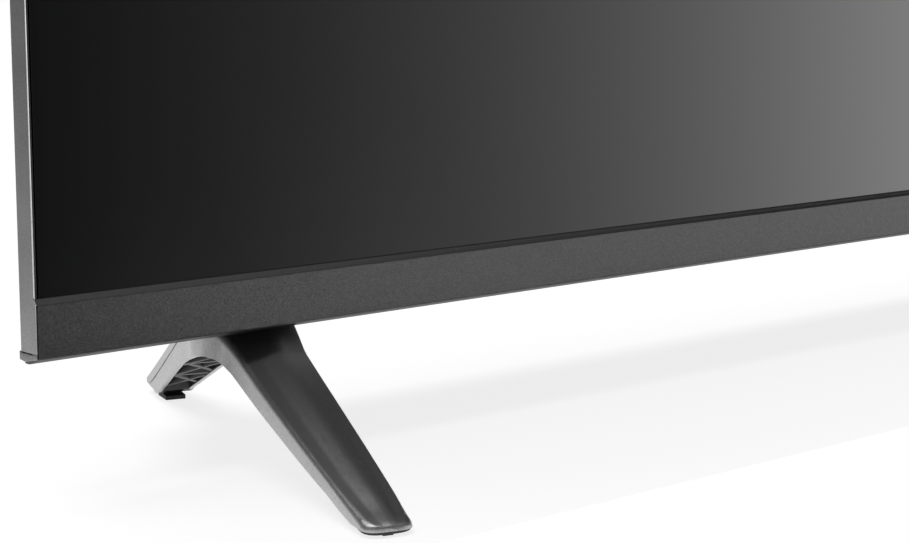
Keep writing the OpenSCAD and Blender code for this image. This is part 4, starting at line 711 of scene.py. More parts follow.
def slim_edge(form):
    """Draws the chamfer finer and lets the lip's inner side fall back toward the glass."""
    for vert in form.verts:
        deep = vert.co.y / MM - FRONT_Y - SETBACK
        for axis, outer in ((0, RIM_X), (2, RIM_Z)):
            side = math.copysign(1, vert.co[axis])
            inward = outer - abs(vert.co[axis]) / MM
            if abs(inward - CAD_EDGE_IN) < SAME and abs(deep) < SAME:
                vert.co[axis] = side * (outer - EDGE_IN) * MM
            elif abs(inward - CAD_LIP_IN) < SAME and abs(deep) < SAME:
                vert.co[axis] = side * (outer - LIP_IN) * MM
            elif abs(inward) < SAME and abs(deep - CAD_EDGE_BACK) < SAME:
                vert.co.y = (FRONT_Y + SETBACK + EDGE_BACK) * MM


# Blasted metal, the bright chamfer, and the painted shade on the lip beside the glass
rim_finishes = [finish_of["rim_metal"], bright_edge, painted_shade_lip]
for rail in ("left_rail", "right_rail", "top_rail"):
    ease_node(rail, 0.08, finishes=rim_finishes, pick=rail_finish, reshape=slim_edge)
CHIN_FACE_TOP = 68.05 * MM
# The faces above the chin's front get the paler paint, a painted sheen on the bevel
ease_node("chin_trim", 0.25, finishes=[finish_of["chin_plastic"], bevel_painted_sheen],
          pick=lambda face: int(face.center.z > CHIN_FACE_TOP))
for node, width in (("lcd_cell", 0.1), ("bottom_rail", 0.2), ("corner_caps", 0.25), ("panel_frame", 0.2)):
    ease_node(node, width)
print("front pieces eased")

# %% [markdown]
# ## The feet
#
# Each foot is a ribbed frame with a smooth sprayed shell over it. Along the foot the shell's width, height and
# sideways place follow a few measured values; across it the top swells to a soft crease and falls to the right.
# A loft is the natural way to make it: one closed ring of points at each place along the foot, joined ring to
# ring. On the front leg the shell's sides reach down over the frame, so no joint shows there; on the rear leg it
# stops at a seam.

# %% Measures of the foot, in mm
BASE_Z, TOE_Z, HEEL_Z, SOLE_Z = 47.1, 5.0, 5.6, 1.8
FLAT_FROM, FLAT_TO = -44.0, -20.0
REAR, FRONT, TOE_ROUND, TOE_HALF = -128.0, 118.57, 7.0, 9.0
TOE_START = FRONT - TOE_ROUND
SHELL_SIDE, SHELL_WALL, CROWN, FRAME_INSET = 3.8, 2.0, 1.2, 0.4
# Tables of (place along the foot, value): half width, sideways place, depth of the CAD side wall
WIDTHS = [(-128, 6.5), (-100, 8.7), (-76, 10.7), (-53, 12.8), (-34, 17.6), (-22, 17.6), (-10, 15.8), (4, 14.5),
          (36, 13.1), (68, 11.5), (100, 9.7), (111.6, 9)]
SHIFTS = [(-128, -2.2), (-60, -1.8), (-34, 0), (-22, 0.6), (-10, 0.9), (4, 0.5), (36, 0.4), (118.6, 0.4)]
DROPS = [(-128, 1.2), (-108, 14), (-76, 17), (-53, 17.4), (-37, 14.6), (-22, 11.6), (-4, 7.8), (4, 7.2),
         (28, 7.1), (60, 6.2), (92, 5), (118.6, 3.2)]
# Height of the rounded arch, lean of the left side, its upper round, lift of the heel, fall to the right
ARCH = [(-112, 1.7), (-108, 2.4), (-104, 5.0), (-92, 10.8), (-76, 18.3), (-62, 24.3), (-53, 27.3), (-48, 28.6),
        (-44, 29.5), (-38, 31.0), (-30, 33.0), (-22, 34.6), (-12, 34.9), (-4, 34.0), (4, 32.22), (28, 24.64),
        (60, 15.4), (80, 9.9), (92, 6.9), (102, 4.1), (108, 2.4), (112, 1.5), (118.6, 0.9)]
LEAN = [(-36, 0), (-20, 1.7), (0, 1.7), (24, 0.9), (60, 0.3), (100, 0)]
EDGE_ROUND = [(-50, 1.2), (-34, 2.2), (-20, 2.8), (0, 2.6), (24, 2.2), (50, 1.8), (90, 1.5), (104, 1.9),
              (116, 2.6)]
HEEL_LIFT = [(-128, 3.0), (-126, 2.3), (-123, 1.5), (-119, 0.9), (-114, 0.6), (-104, 0.3), (-92, 0)]
FALLS = [(-20, 0.6), (0, 1.9), (30, 1.7), (70, 1.2), (118.6, 0.9)]
FOOT_AT, SPLAY = Vector((-379.8, -4.495)), math.radians(17)
print("foot", FRONT - REAR, "mm long, splayed by", round(math.degrees(SPLAY)), "degrees")

# %% [markdown]
# Every edge of the foot is a height or a width at a place along it, so each gets a small function.

# %% Edges of the foot
def along(table, s):
    """Value of a table of (place, value) at a place, straight between its rows."""
    if s <= table[0][0]:
        return table[0][1]
    for (s0, v0), (s1, v1) in zip(table, table[1:]):
        if s <= s1:
            return v0 + (v1 - v0) * (s - s0) / (s1 - s0)
    return table[-1][1]


def held(value):
    """A value held between 0 and 1."""
    return min(1.0, max(0.0, value))


def smooth_step(value, low, high):
    """0 below low, 1 above high, a smooth step between."""
    part = held((value - low) / (high - low))
    return part * part * (3 - 2 * part)


def foot_edge(s):
    """Height of the foot's upper edge."""
    if s > FLAT_TO:
        return max(TOE_Z, BASE_Z + (s - FLAT_TO) * (TOE_Z - BASE_Z) / (TOE_START - FLAT_TO))
    if s < FLAT_FROM:
        return BASE_Z + (FLAT_FROM - s) * (HEEL_Z - BASE_Z) / (FLAT_FROM - REAR)
    return BASE_Z


RUN_ON, LEVEL_FROM, TOE_SINK, TOE_SOFT = 3.0, 80.0, 0.4, 1.2


def shell_edge(s):
    """The same edge on the shell: it runs on into the toe and levels out softly."""
    if s < FLAT_TO:
        return foot_edge(s)
    line = BASE_Z + (s - FLAT_TO) * ((TOE_Z - BASE_Z) / (TOE_START + RUN_ON - FLAT_TO))
    if s < LEVEL_FROM:
        return line
    lowest = TOE_Z - TOE_SINK
    return 0.5 * (line + lowest + math.hypot(line - lowest, TOE_SOFT))


def toe_part(s):
    """0 before the rounded toe, 1 at its tip."""
    return held((s - TOE_START) / TOE_ROUND)


def foot_half(s):
    """Half the foot's width, with the rounded toe."""
    if s > TOE_START:
        return TOE_HALF * (1 - toe_part(s) ** 3) ** (1 / 3)
    return along(WIDTHS, s)


HEEL_SIDE, SEAM_OVER_SOLE, WALL_LEAST = 1.4, 1.0, 0.8


def foot_seam(s):
    """Height of the joint between shell and frame."""
    tail = held((FLAT_FROM - s) / (FLAT_FROM - REAR))
    return max(foot_edge(s) - SHELL_SIDE - HEEL_SIDE * tail, SOLE_Z + SEAM_OVER_SOLE)


def cad_low_edge(s):
    """Height of the lower edge of the frame's side walls in the CAD model."""
    return max(min(foot_edge(s) - along(DROPS, s), foot_seam(s) - WALL_LEAST), SOLE_Z)


def low_edge(s):
    """The same edge with the arch between the legs rounded, as the real moulding has it."""
    return along(ARCH, s) if ARCH[0][0] < s < ARCH[-1][0] else cad_low_edge(s)


def lifted(s, z):
    """A height at a place, raised toward the heel's end so that its lower corner is round."""
    top = foot_edge(s)
    return z + along(HEEL_LIFT, s) * max(0.0, top - z) / (top - SOLE_Z)


print("foot half width at the apex:", foot_half(-30), "mm, toe edge at", foot_edge(FRONT), "mm")

# %% [markdown]
# The ring at a place: up the left side, round a small edge, over the crown, down the right side, and back
# along the inside of the wall. A cubic curve through the crown's points makes it smooth.

# %% Tools for a ring
HEEL_ROUND = 2.6


def smooth_through(points, steps):
    """Points on a smooth cubic curve through the given points, a number of steps from one to the next."""
    padded = [points[0], *points, points[-1]]
    line = []
    for a, b, c, d in zip(padded, padded[1:], padded[2:], padded[3:]):
        for k in range(steps):
            t = k / steps
            line.append(tuple(0.5 * (2 * q + (r - p) * t + (2 * p - 5 * q + 4 * r - w) * t * t
                                     + (3 * q - p - 3 * r + w) * t ** 3) for p, q, r, w in zip(a, b, c, d)))
    return line + [points[-1]]


def heel_back(s):
    """How far the sides draw in over the rounded end of the heel."""
    heel = held(1 - (s - REAR) / HEEL_ROUND)
    return HEEL_ROUND * (1 - math.sqrt(1 - heel * heel))


print("the heel's end draws in by", round(heel_back(REAR), 2), "mm")

# %% [markdown]
# Toward the toe the two edges become alike, the swell sinks and the hollow inside closes, so that the loft ends
# in a neat tip. Each of these sets in between two places along the foot, which are named first.

# %% One ring of the shell
# Across the top, as shares of its width, of the swell and of the fall: a flat strip, a crease, then the swell
FALL_AT_EDGE = 0.9
CROWN_LINE = [(0, 0, 0), (0.12, 0.03, 0), (0.22, 0.12, 0), (0.34, 0.6, 0), (0.5, 1, 0), (0.66, 0.75, 0.1),
              (0.82, 0.15, 0.5), (1, 0, FALL_AT_EDGE)]
CROWN_STEPS, EDGE_TURNS = 4, (0, 0.39, 0.79, 1.18, 1.57)
# Bounds of the left edge's round: least, and shares of the side's height and of the half width
LIP_LEAST, LIP_OF_SIDE, LIP_OF_HALF = 0.3, 0.9, 0.45
# Bounds of the right edge's round: most, and the part of the side's height and of the half width
RIGHT_ROUND, RIGHT_PART = 1.2, 3
# Places along the foot between which its sides reach down over the frame, and draw up again by a share
WRAP, UNWRAP, UNWRAP_BY = (-47, -26), (97, 106), 0.6
# Places between which the swell sinks by a share, and the right edge becomes as round as the left one
SINK, SINK_BY, EVEN_EDGES = (98, 115), 0.75, (92, 110)
# Places between which the hollow inside opens and closes, and the slit at the tip shuts
HOLLOW, HOLLOW_END, SHUT = (REAR + 2, REAR + 4), (108, 112), (117.2, 118.2)
TOE_DROP, HEEL_DROP, SWELL_OVER, LEAST_HALF, LEAST_TALL = 1.7, 0.8, 6.0, 0.3, 0.1
HEM_GAP, SKIN_GAP, ROOF_T, ROOF_LEAST, APART = 0.03, 0.03, SHELL_WALL + 0.6, 0.05, 0.01
WALL_OF_HALF, SKIN_OF_WALL = 0.6, 0.5
# Where the slit is shut, wall and skin meet in the middle but for these shares of the half width
SHUT_WALL, SHUT_SKIN = 0.998, 0.996


def shell_inside(s, half, top, seam, hem, lean, tilt):
    """Points of a ring along the inside of the wall, from the right hem to the left one."""
    wall = min(SHELL_WALL, WALL_OF_HALF * half)
    skin = min(FRAME_INSET - SKIN_GAP, SKIN_OF_WALL * wall)
    shut = smooth_step(s, *SHUT)
    wall += (SHUT_WALL * half - wall) * shut
    skin += (SHUT_SKIN * half - skin) * shut
    hollow = smooth_step(s, *HOLLOW) * (1 - smooth_step(s, *HOLLOW_END))
    roof = seam + max(ROOF_LEAST, top - ROOF_T - seam) * hollow + 2 * APART
    return [(half - skin, hem), (half - skin, seam), (half - wall, seam + APART), (half - wall, roof),
            (-half + wall + lean, roof), (-half + wall + tilt, seam + APART), (-half + skin + tilt, seam),
            (-half + skin, hem)]


def shell_ring(s):
    """Closed ring of (across, height) points of the shell at a place along the foot."""
    toe, back, lean, seam = toe_part(s), heel_back(s), along(LEAN, s), foot_seam(s)
    half = max(LEAST_HALF, foot_half(s) - back)
    top = shell_edge(s) - TOE_DROP * (1 - math.sqrt(1 - toe * toe)) - HEEL_DROP * back
    low = min(low_edge(s), seam - WALL_LEAST)
    wrap = smooth_step(s, *WRAP) * (1 - UNWRAP_BY * smooth_step(s, *UNWRAP))
    hem = seam - HEM_GAP - (seam - low - 2 * HEM_GAP) * wrap
    free = held((BASE_Z - top) / SWELL_OVER)
    swell = CROWN * free * min(1.0, half / TOE_HALF) * (1 - SINK_BY * smooth_step(s, *SINK))
    fall = along(FALLS, s) * free * min(1.0, (top - seam) / SHELL_SIDE)
    lip = min(along(EDGE_ROUND, s), max(LIP_LEAST, LIP_OF_SIDE * (top - hem)), LIP_OF_HALF * half)
    small = min(RIGHT_ROUND, (top - seam) / RIGHT_PART, half / RIGHT_PART)
    small += (lip - small) * smooth_step(s, *EVEN_EDGES)
    start = -half + lean + lip
    left = [(-half + lean + lip * (1 - math.cos(a)), top - lip * (1 - math.sin(a))) for a in EDGE_TURNS[:-1]]
    crown = smooth_through([(start + share * (half - small - start), top + up * swell - down * fall)
                            for share, up, down in CROWN_LINE], CROWN_STEPS)
    right = [(half - small * (1 - math.sin(a)), top - FALL_AT_EDGE * fall - small * (1 - math.cos(a)))
             for a in EDGE_TURNS[1:]]
    tilt = lean * (seam - hem) / max(LEAST_TALL, top - lip - hem)
    inside = shell_inside(s, half, top, seam, hem, lean, tilt)
    middle = along(SHIFTS, s)
    return [(middle + t, lifted(s, z)) for t, z in [(-half, hem), *left, *crown, *right, (half, hem), *inside]]


print("points in a ring:", len(shell_ring(0)))

# %% [markdown]
# Rings lie two millimetres apart, and closer at the rounded toe and heel. The right foot is the same
# loft mirrored, with its faces turned round again so that they point outwards.

# %% Foot shells
def foot_place(s, t, z):
    """A point of the left foot in metres."""
    x = FOOT_AT.x - s * math.sin(SPLAY) + t * math.cos(SPLAY)
    y = FOOT_AT.y - s * math.cos(SPLAY) - t * math.sin(SPLAY)
    return Vector((x, y, z)) * MM


RING_STEP, STEP_FROM, TOE_REACH = 2, REAR + HEEL_ROUND + 0.4, 0.985
stations = [REAR + HEEL_ROUND * (1 - math.cos(math.radians(a))) for a in range(0, 90, 12)]
stations += [STEP_FROM + RING_STEP * i for i in range(int((TOE_START - STEP_FROM) / RING_STEP) + 1)]
stations += [TOE_START + TOE_REACH * TOE_ROUND * math.sin(math.radians(a)) for a in range(6, 91, 6)]


def foot_shell(name, mirrored):
    """The sprayed shell of one foot."""
    form = bmesh.new()
    rings = [[form.verts.new(foot_place(s, t, z)) for t, z in shell_ring(s)] for s in stations]
    for one, two in zip(rings, rings[1:]):
        for i in range(len(one)):
            j = (i + 1) % len(one)
            form.faces.new((one[i], one[j], two[j], two[i]))
    form.faces.new(list(reversed(rings[0])))
    form.faces.new(rings[-1])
    if mirrored:
        bmesh.ops.scale(form, vec=(-1, 1, 1), verts=form.verts)
    bmesh.ops.remove_doubles(form, verts=form.verts, dist=0.001 * MM)
    bmesh.ops.recalc_face_normals(form, faces=form.faces)
    mesh = bpy.data.meshes.new(name)
    form.to_mesh(mesh)
    form.free()
    mesh.shade_smooth()
    mesh.set_sharp_from_angle(angle=math.radians(42))
    return mesh


SIDES = (("left", False), ("right", True))
for side_name, mirrored in SIDES:
    node = "foot_cover_" + side_name
    piece = show(foot_shell(node + "_piece", mirrored), node, [finish_of["foot_shell"]])
    print(piece.name, len(piece.data.polygons), "faces, strays", round(strays(piece.data, node), 3), "mm")

# %% [markdown]
# The frame under the shell is moulded in black plastic and its outer walls are sprayed with the shell.
# A face is sprayed where it belongs to an outer wall and does not look inward; ribs and gussets stay black.

# %% Shape and finish of the foot frames
SPRAYED_TO, FRAME_WALL, LOOKS_INWARD = 106, 2.2, -0.4


def foot_axes(mirrored):
    """Root of a foot in metres, and the directions forward and sideways along it."""
    flip = -1 if mirrored else 1
    root = Vector((FOOT_AT.x * flip, FOOT_AT.y, 0)) * MM
    forward = Vector((-math.sin(SPLAY) * flip, -math.cos(SPLAY), 0))
    sideways = Vector((math.cos(SPLAY) * flip, -math.sin(SPLAY), 0))
    return root, forward, sideways


def frame_finish(face, mirrored):
    """1 for sprayed outer walls, 0 for bare black plastic and the sole under the toe."""
    root, forward, sideways = foot_axes(mirrored)
    s = (face.center - root).dot(forward) / MM
    t = (face.center - root).dot(sideways) / MM - along(SHIFTS, s)
    outward = face.normal.dot(sideways) * math.copysign(1, t)
    at_wall = abs(t) > foot_half(s) - FRAME_INSET - FRAME_WALL
    return int(s < SPRAYED_TO and at_wall and outward > LOOKS_INWARD)


TUCK_FROM, FRONT_TUCK = 114.0, 0.15
HEEL_CUTS, CUT_STEP, CUT_WITHIN = (-127.8, -127.4, -126.7), 3, 0.05 * MM
LEAN_SIDE, LEAN_TOP = -0.5, 2.6


def round_arch(form, mirrored):
    """Cuts the frame across in short steps, lays its lower edge on the rounded line and leans its left wall."""
    root, forward, sideways = foot_axes(mirrored)
    first, last = int(ARCH[0][0]), int(ARCH[-1][0]) + 1
    for s in [*HEEL_CUTS, *range(int(REAR) + 2, last + 1, CUT_STEP)]:
        every = form.verts[:] + form.edges[:] + form.faces[:]
        bmesh.ops.bisect_plane(form, geom=every, dist=CUT_WITHIN, plane_co=root + forward * s * MM,
                               plane_no=forward)
    for vert in form.verts:
        s = (vert.co - root).dot(forward) / MM
        seam, low = foot_seam(s), low_edge(s)
        depth = seam - vert.co.z / MM
        if first < s < last and depth > 0:
            vert.co.z = (seam - depth * (seam - low) / (seam - cad_low_edge(s))) * MM
        vert.co.z = lifted(s, vert.co.z / MM) * MM
        t = (vert.co - root).dot(sideways) / MM - along(SHIFTS, s)
        if t < LEAN_SIDE * foot_half(s):
            upward = held((vert.co.z / MM - low) / (foot_edge(s) - LEAN_TOP - low))
            vert.co += sideways * along(LEAN, s) * upward * MM
        past = abs(t) - (foot_half(s) - heel_back(s) - FRAME_INSET)
        if s < REAR + HEEL_ROUND and past > 0:
            vert.co -= sideways * math.copysign(past, t) * MM
        vert.co -= forward * FRONT_TUCK * max(0.0, s - TUCK_FROM) * MM


print("cuts across a foot frame at every", CUT_STEP, "mm")

# %% [markdown]
# The rubber pads sit in the frame's soles. Under the toes only their edge shows, and under the heels they are
# a little longer than the plain block of the CAD model.

# %% Foot frames and pads
foot_finishes = [finish_of["foot_plastic"], finish_of["foot_shell"]]
for side_name, mirrored in SIDES:
    ease_node("foot_frame_" + side_name, 0.3, finishes=foot_finishes,
              pick=lambda face, flipped=mirrored: frame_finish(face, flipped),
              reshape=lambda form, flipped=mirrored: round_arch(form, flipped), room=1.2)

# Middle of a pad along the foot in mm, and the share of its size
FRONT_PAD, REAR_PAD = (110.0, 0.85), (-112.5, 1.4)


def tuck_pads(form):
    """Draws the front pads in a little under the toes, and the rear ones longer."""
    for vert in form.verts:
        s, share = FRONT_PAD if vert.co.y < 0 else REAR_PAD
        middle = foot_place(s, along(SHIFTS, s), 0)
        middle.x = math.copysign(middle.x, vert.co.x)
        vert.co.x = middle.x + share * (vert.co.x - middle.x)
        vert.co.y = middle.y + share * (vert.co.y - middle.y)


ease_node("foot_pads", 0.25, reshape=tuck_pads, room=2.5)
print("foot frames and pads eased")

# %% [markdown]
# ## The back
#
# The rear cover is one large moulding with vents, wells and two bays; above it the pressed steel tray shows.
# Their shapes are right in CAD, so they only get eased edges. A cover of this size leaves its mould with rounder
# outer edges than a small piece: its long edges get a radius of three millimetres, those of the bays one.
# The aerial socket, the inlet, the audio socket and the window of the receiver are eased as well. The bore of the
# audio socket and the pins of the inlet are bare metal.

# %% Back pieces
COVER_RIM_Y = 14.5 * MM
LONG, BROAD, LEAST_TURN, LOOKS_BACK = 30 * MM, 250 * MM * MM, 40, -0.1
# Radius in mm, and the sharpest turn in degrees that gets it: the main form, then the bays
COVER_ROUNDS = ((3.0, 75), (1.0, 95))


def round_long_edges(form):
    """Rounds the long outer edges of the cover, first those of the main form, then those of the bays."""
    for radius, sharpest in COVER_ROUNDS:
        chosen = []
        for edge in form.edges:
            if len(edge.link_faces) != 2 or not edge.is_convex or edge.calc_length() < LONG:
                continue
            turn = math.degrees(edge.calc_face_angle(0))
            outside = all(face.normal.y > LOOKS_BACK for face in edge.link_faces)
            broad = min(face.calc_area() for face in edge.link_faces) > BROAD
            behind_rim = min(v.co.y for v in edge.verts) > COVER_RIM_Y
            if outside and broad and behind_rim and LEAST_TURN < turn < sharpest:
                chosen.append(edge)
        bmesh.ops.bevel(form, geom=chosen, offset=radius * MM, offset_type="OFFSET", segments=4, profile=0.5,
                        affect="EDGES", clamp_overlap=True, loop_slide=True)
        print("rounded", len(chosen), "long edges by", radius, "mm")


ease_node("rear_cover", 0, reshape=round_long_edges)
for node, width in (("backlight_tray", 0.25), ("tuner", 0.2), ("ir_window", 0.15)):
    ease_node(node, width)


def metal_round(*axes):
    """A pick for ease_node: 1 for faces within a radius of any axis along X, given as (y, z, radius) in mm."""
    def pick(face):
        y, z = face.center.y / MM, face.center.z / MM
        return int(any(math.hypot(y - at_y, z - at_z) < radius for at_y, at_z, radius in axes))
    return pick


JACK_BORE = (25.76, 176, 1.9)
INLET_PINS = [(30.26, 195 + side * 4.3, 1.3) for side in (-1, 1)]
plastic_and_steel = [finish_of["black_plastic"], finish_of["bright_steel"]]
ease_node("audio_jack", 0.2, finishes=plastic_and_steel, pick=metal_round(JACK_BORE))
ease_node("mains_inlet", 0.3, finishes=plastic_and_steel, pick=metal_round(*INLET_PINS))
print("back pieces eased")

# %% [markdown]
# ## Screws
#
# Small screws repeat all over the back. One screw is turned from a profile and gets its cross recess cut with
# a Boolean. Geometry Nodes then set a copy at every place where the CAD model has a screw, each turned by a
# different amount, as hands leave them. Places and sizes come from the CAD screws themselves.

# %% Repeating a shape
repeat = bpy.data.node_groups.new("repeat_at_points", "GeometryNodeTree")
for label, direction, kind in (("Geometry", "INPUT", "Geometry"), ("Shape", "INPUT", "Object"),
                               ("Largest turn", "INPUT", "Vector"), ("Seed", "INPUT", "Int"),
                               ("Finish", "INPUT", "Material"), ("Geometry", "OUTPUT", "Geometry")):
    repeat.interface.new_socket(label, in_out=direction, socket_type="NodeSocket" + kind)
given = add(repeat, "NodeGroupInput").outputs
spots = add(repeat, "GeometryNodeMeshToPoints", {"Mesh": given["Geometry"]})
turns = add(repeat, "FunctionNodeRandomValue", {0: (0, 0, 0), 1: given["Largest turn"], "Seed": given["Seed"]},
            data_type="FLOAT_VECTOR")
shape = add(repeat, "GeometryNodeObjectInfo", {"Object": given["Shape"]})
copies = add(repeat, "GeometryNodeInstanceOnPoints", {"Points": spots.outputs[0],
             "Instance": shape.outputs["Geometry"], "Rotation": turns.outputs[0]})
real = add(repeat, "GeometryNodeRealizeInstances", {"Geometry": copies.outputs[0]})
dressed = add(repeat, "GeometryNodeSetMaterial", {"Geometry": real.outputs[0], "Material": given["Finish"]})
add(repeat, "NodeGroupOutput", {0: dressed.outputs[0]})
inputs_of = {item.name: item.identifier for item in repeat.interface.items_tree if item.in_out == "INPUT"}


def repeated(name, shape_mesh, places, finish, turn=(0, 0, 0), seed=7):
    """One mesh with a copy of the shape at every place."""
    shape_object = bpy.data.objects.new(name + "_shape", shape_mesh)
    points = bpy.data.meshes.new(name + "_points")
    points.from_pydata([tuple(p) for p in places], [], [])
    holder = bpy.data.objects.new(name, points)
    for one in (shape_object, holder):
        scene.collection.objects.link(one)
    modifier = holder.modifiers.new("repeat", "NODES")
    modifier.node_group = repeat
    for socket, value in (("Shape", shape_object), ("Largest turn", turn), ("Seed", seed), ("Finish", finish)):
        modifier[inputs_of[socket]] = value
    mesh = evaluated(holder)
    bpy.data.objects.remove(holder)
    bpy.data.objects.remove(shape_object)
    return mesh


print("inputs:", sorted(inputs_of))

# %% [markdown]
# The separate solids of a CAD node are its loose parts. Their boxes give the place, the head and the length
# of every screw.

# %% Loose parts of a node
def loose_parts(node):
    """Boxes, as (low, high), of the separate solids of a CAD node."""
    form = bmesh.new()
    form.from_mesh(nodes[node].data)
    bmesh.ops.remove_doubles(form, verts=form.verts, dist=MERGE)
    waiting, boxes = set(form.verts), []
    while waiting:
        front, part = [waiting.pop()], []
        while front:
            vert = front.pop()
            part.append(vert.co.copy())
            for one in vert.link_edges:
                other = one.other_vert(vert)
                if other in waiting:
                    waiting.discard(other)
                    front.append(other)
        boxes.append((Vector([min(c[i] for c in part) for i in range(3)]),
                      Vector([max(c[i] for c in part) for i in range(3)])))
    form.free()
    return sorted(boxes, key=lambda b: (round(b[0].z, 4), round(b[0].x, 4), round(b[0].y, 4)))


def turned_form(profile, sides=32):
    """A closed form turned about Y from (radius, y) points in mm that start and end on the axis."""
    form = bmesh.new()
    rings = []
    for radius, y in profile:
        count = sides if radius > 1e-6 else 1
        rings.append([form.verts.new((radius * MM * math.cos(math.tau * k / sides), y * MM,
                                      radius * MM * math.sin(math.tau * k / sides))) for k in range(count)])
    for one, two in zip(rings, rings[1:]):
        for k in range(sides):
            corners = [one[k % len(one)], one[(k + 1) % len(one)], two[(k + 1) % len(two)], two[k % len(two)]]
            form.faces.new(list(dict.fromkeys(corners)))
    bmesh.ops.recalc_face_normals(form, faces=form.faces)
    return form


print("rim screws found:", len(loose_parts("rim_screws")))

# %% [markdown]
# A pan-head screw: shank, a flat seat, a rounded head. The cross is cut by two tapered blades.

# %% One screw
# The head's outline as shares of its radius and height, from above the seat to the crown
HEAD_LINE = [(1, 0.12), (1, 0.45)]
HEAD_LINE += [(0.72 + 0.28 * math.cos(a), 0.45 + 0.5 * math.sin(a)) for a in (0.4, 0.8, 1.2, 1.57)]
HEAD_LINE += [(0.4, 1), (0, 1)]
# A blade's length and thickness as shares of the head's radius, at its foot and at its top, and its height
BLADE_LONG, BLADE_THICK, BLADE_TALL = (0.7, 1.16), (0.16, 0.26), 1.3
SEAT_IN, TIP_R, TIP_LONG, SHARP_FROM = 0.1, 0.6, 0.4, math.radians(38)


def cross_blades(name, head_r, head_t):
    """An object with the two tapered blades that cut the cross."""
    blades = bmesh.new()
    for turn in (0, math.pi / 2):
        made = bmesh.ops.create_cube(blades, size=1)["verts"]
        for vert in made:
            top = int(vert.co.y >= 0)
            vert.co = Vector((vert.co.x * head_r * BLADE_LONG[top], vert.co.y * BLADE_TALL * head_t + head_t,
                              vert.co.z * head_r * BLADE_THICK[top])) * MM
        bmesh.ops.rotate(blades, verts=made, cent=(0, 0, 0), matrix=Matrix.Rotation(turn, 3, "Y"))
    mesh = bpy.data.meshes.new(name)
    blades.to_mesh(mesh)
    blades.free()
    cutter = bpy.data.objects.new(name, mesh)
    scene.collection.objects.link(cutter)
    return cutter


def screw_mesh(name, head_r, head_t, shank_r, length):
    """A cross-head screw along +Y with the seat of its head at y = 0, sizes in mm."""
    profile = [(0, -length), (TIP_R * shank_r, -length), (shank_r, -length + TIP_LONG * shank_r), (shank_r, 0),
               (head_r - SEAT_IN, 0)]
    profile += [(head_r * out, head_t * up) for out, up in HEAD_LINE]
    cutter = cross_blades(name + "_blades", head_r, head_t)
    mesh = with_modifiers(turned_form(profile), name, ("BOOLEAN", {"operation": "DIFFERENCE", "solver": "EXACT",
                          "use_self": True, "object": cutter}))
    bpy.data.objects.remove(cutter)
    mesh.set_sharp_from_angle(angle=SHARP_FROM)
    return mesh


print("points on a screw head's outline:", len(HEAD_LINE))

# %% [markdown]
# The screws of one node share one shape. Heads look backward along Y, and under the foot downward along Z.

# %% All screws
def screws(node, head_t, shank_share, axis):
    """Replaces a node of screws. axis 1 has the heads toward +Y, axis 2 toward -Z."""
    boxes = loose_parts(node)
    low, high = boxes[0]
    head_r = (high.x - low.x) / 2 / MM
    length = (high[axis] - low[axis]) / MM - head_t
    mesh = screw_mesh(node + "_one", head_r, head_t, head_r * shank_share, length)
    turn = (0, math.tau, 0)
    if axis == 2:
        mesh.transform(Matrix.Rotation(-math.pi / 2, 4, "X"))
        turn = (0, 0, math.tau)
    places = []
    for low, high in boxes:
        place = (low + high) / 2
        place[axis] = high[axis] - head_t * MM if axis == 1 else low[axis] + head_t * MM
        places.append(place)
    finish = finish_of[slot_of[node]]
    many = repeated(node + "_piece", mesh, places, finish, turn, seed=11)
    piece = show(many, node, [finish])
    print(piece.name, len(places), "screws, head", round(2 * head_r, 2), "mm, strays",
          round(strays(many, node), 3))


screws("rim_screws", 1.2, 0.545, 1)
screws("cover_screws", 2.2, 0.47, 1)
screws("board_screws", 1.8, 0.5, 1)
screws("foot_screws", 3.0, 0.5, 2)

# %% [markdown]
# ## Wall-mount posts
#
# Four steel posts take the screws of a wall mount. Each is turned with a chamfered mouth, and its bore carries
# a thread: grooves one millimetre apart, drawn as rings.

# %% Wall-mount posts
POST_R, BORE_R, GROOVE_R, BORE_DEEP = 7.0, 3.0, 3.35, 25.0
FOOT_CHAMFER, RIM_CHAMFER, MOUTH, GROOVE, BORE_TIP, POST_SIDES = 0.3, 0.4, 0.8, (0.3, 0.8), 0.2, 40
low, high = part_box("vesa_inserts")
foot_y, mouth_y = low.y / MM, high.y / MM
profile = [(0, foot_y), (POST_R - FOOT_CHAMFER, foot_y), (POST_R, foot_y + FOOT_CHAMFER),
           (POST_R, mouth_y - RIM_CHAMFER), (POST_R - RIM_CHAMFER, mouth_y), (BORE_R + MOUTH, mouth_y),
           (BORE_R, mouth_y - MOUTH)]
for turn in range(1, int(BORE_DEEP)):
    profile += [(GROOVE_R, mouth_y - turn - GROOVE[0]), (BORE_R, mouth_y - turn - GROOVE[1])]
profile.append((0, mouth_y - BORE_DEEP - BORE_TIP))
post = with_modifiers(turned_form(profile, POST_SIDES), "post")
post.set_sharp_from_angle(angle=SHARP_FROM)
post_places = [((one.x + two.x) / 2, 0, (one.z + two.z) / 2) for one, two in loose_parts("vesa_inserts")]
posts = repeated("vesa_inserts_piece", post, post_places, finish_of["bright_steel"])
piece = show(posts, "vesa_inserts", [finish_of["bright_steel"]])
print(piece.name, len(post_places), "posts, strays", round(strays(posts, "vesa_inserts"), 3))

# %% [markdown]
# ## Sockets
#
# A socket is a pressed steel shell round a moulded tongue, and the tongue carries gold-plated contacts at a fixed
# pitch: one millimetre in a video socket, two and a half in a data socket. The network socket has eight sprung
# wires in place of a tongue. Contacts are repeated with the same Geometry Nodes as the screws.

# %% Tools for sockets
def slab_mesh(name, low, high, width, turn=0.0):
    """A block between two corners in mm with rounded edges, turned about Z."""
    form = bmesh.new()
    bmesh.ops.create_cube(form, size=1)
    for vert in form.verts:
        vert.co = Vector([(a + b) / 2 + share * (b - a) for a, b, share in zip(low, high, vert.co)]) * MM
    bmesh.ops.rotate(form, verts=form.verts, cent=(0, 0, 0), matrix=Matrix.Rotation(turn, 3, "Z"))
    return eased(form, name, width)


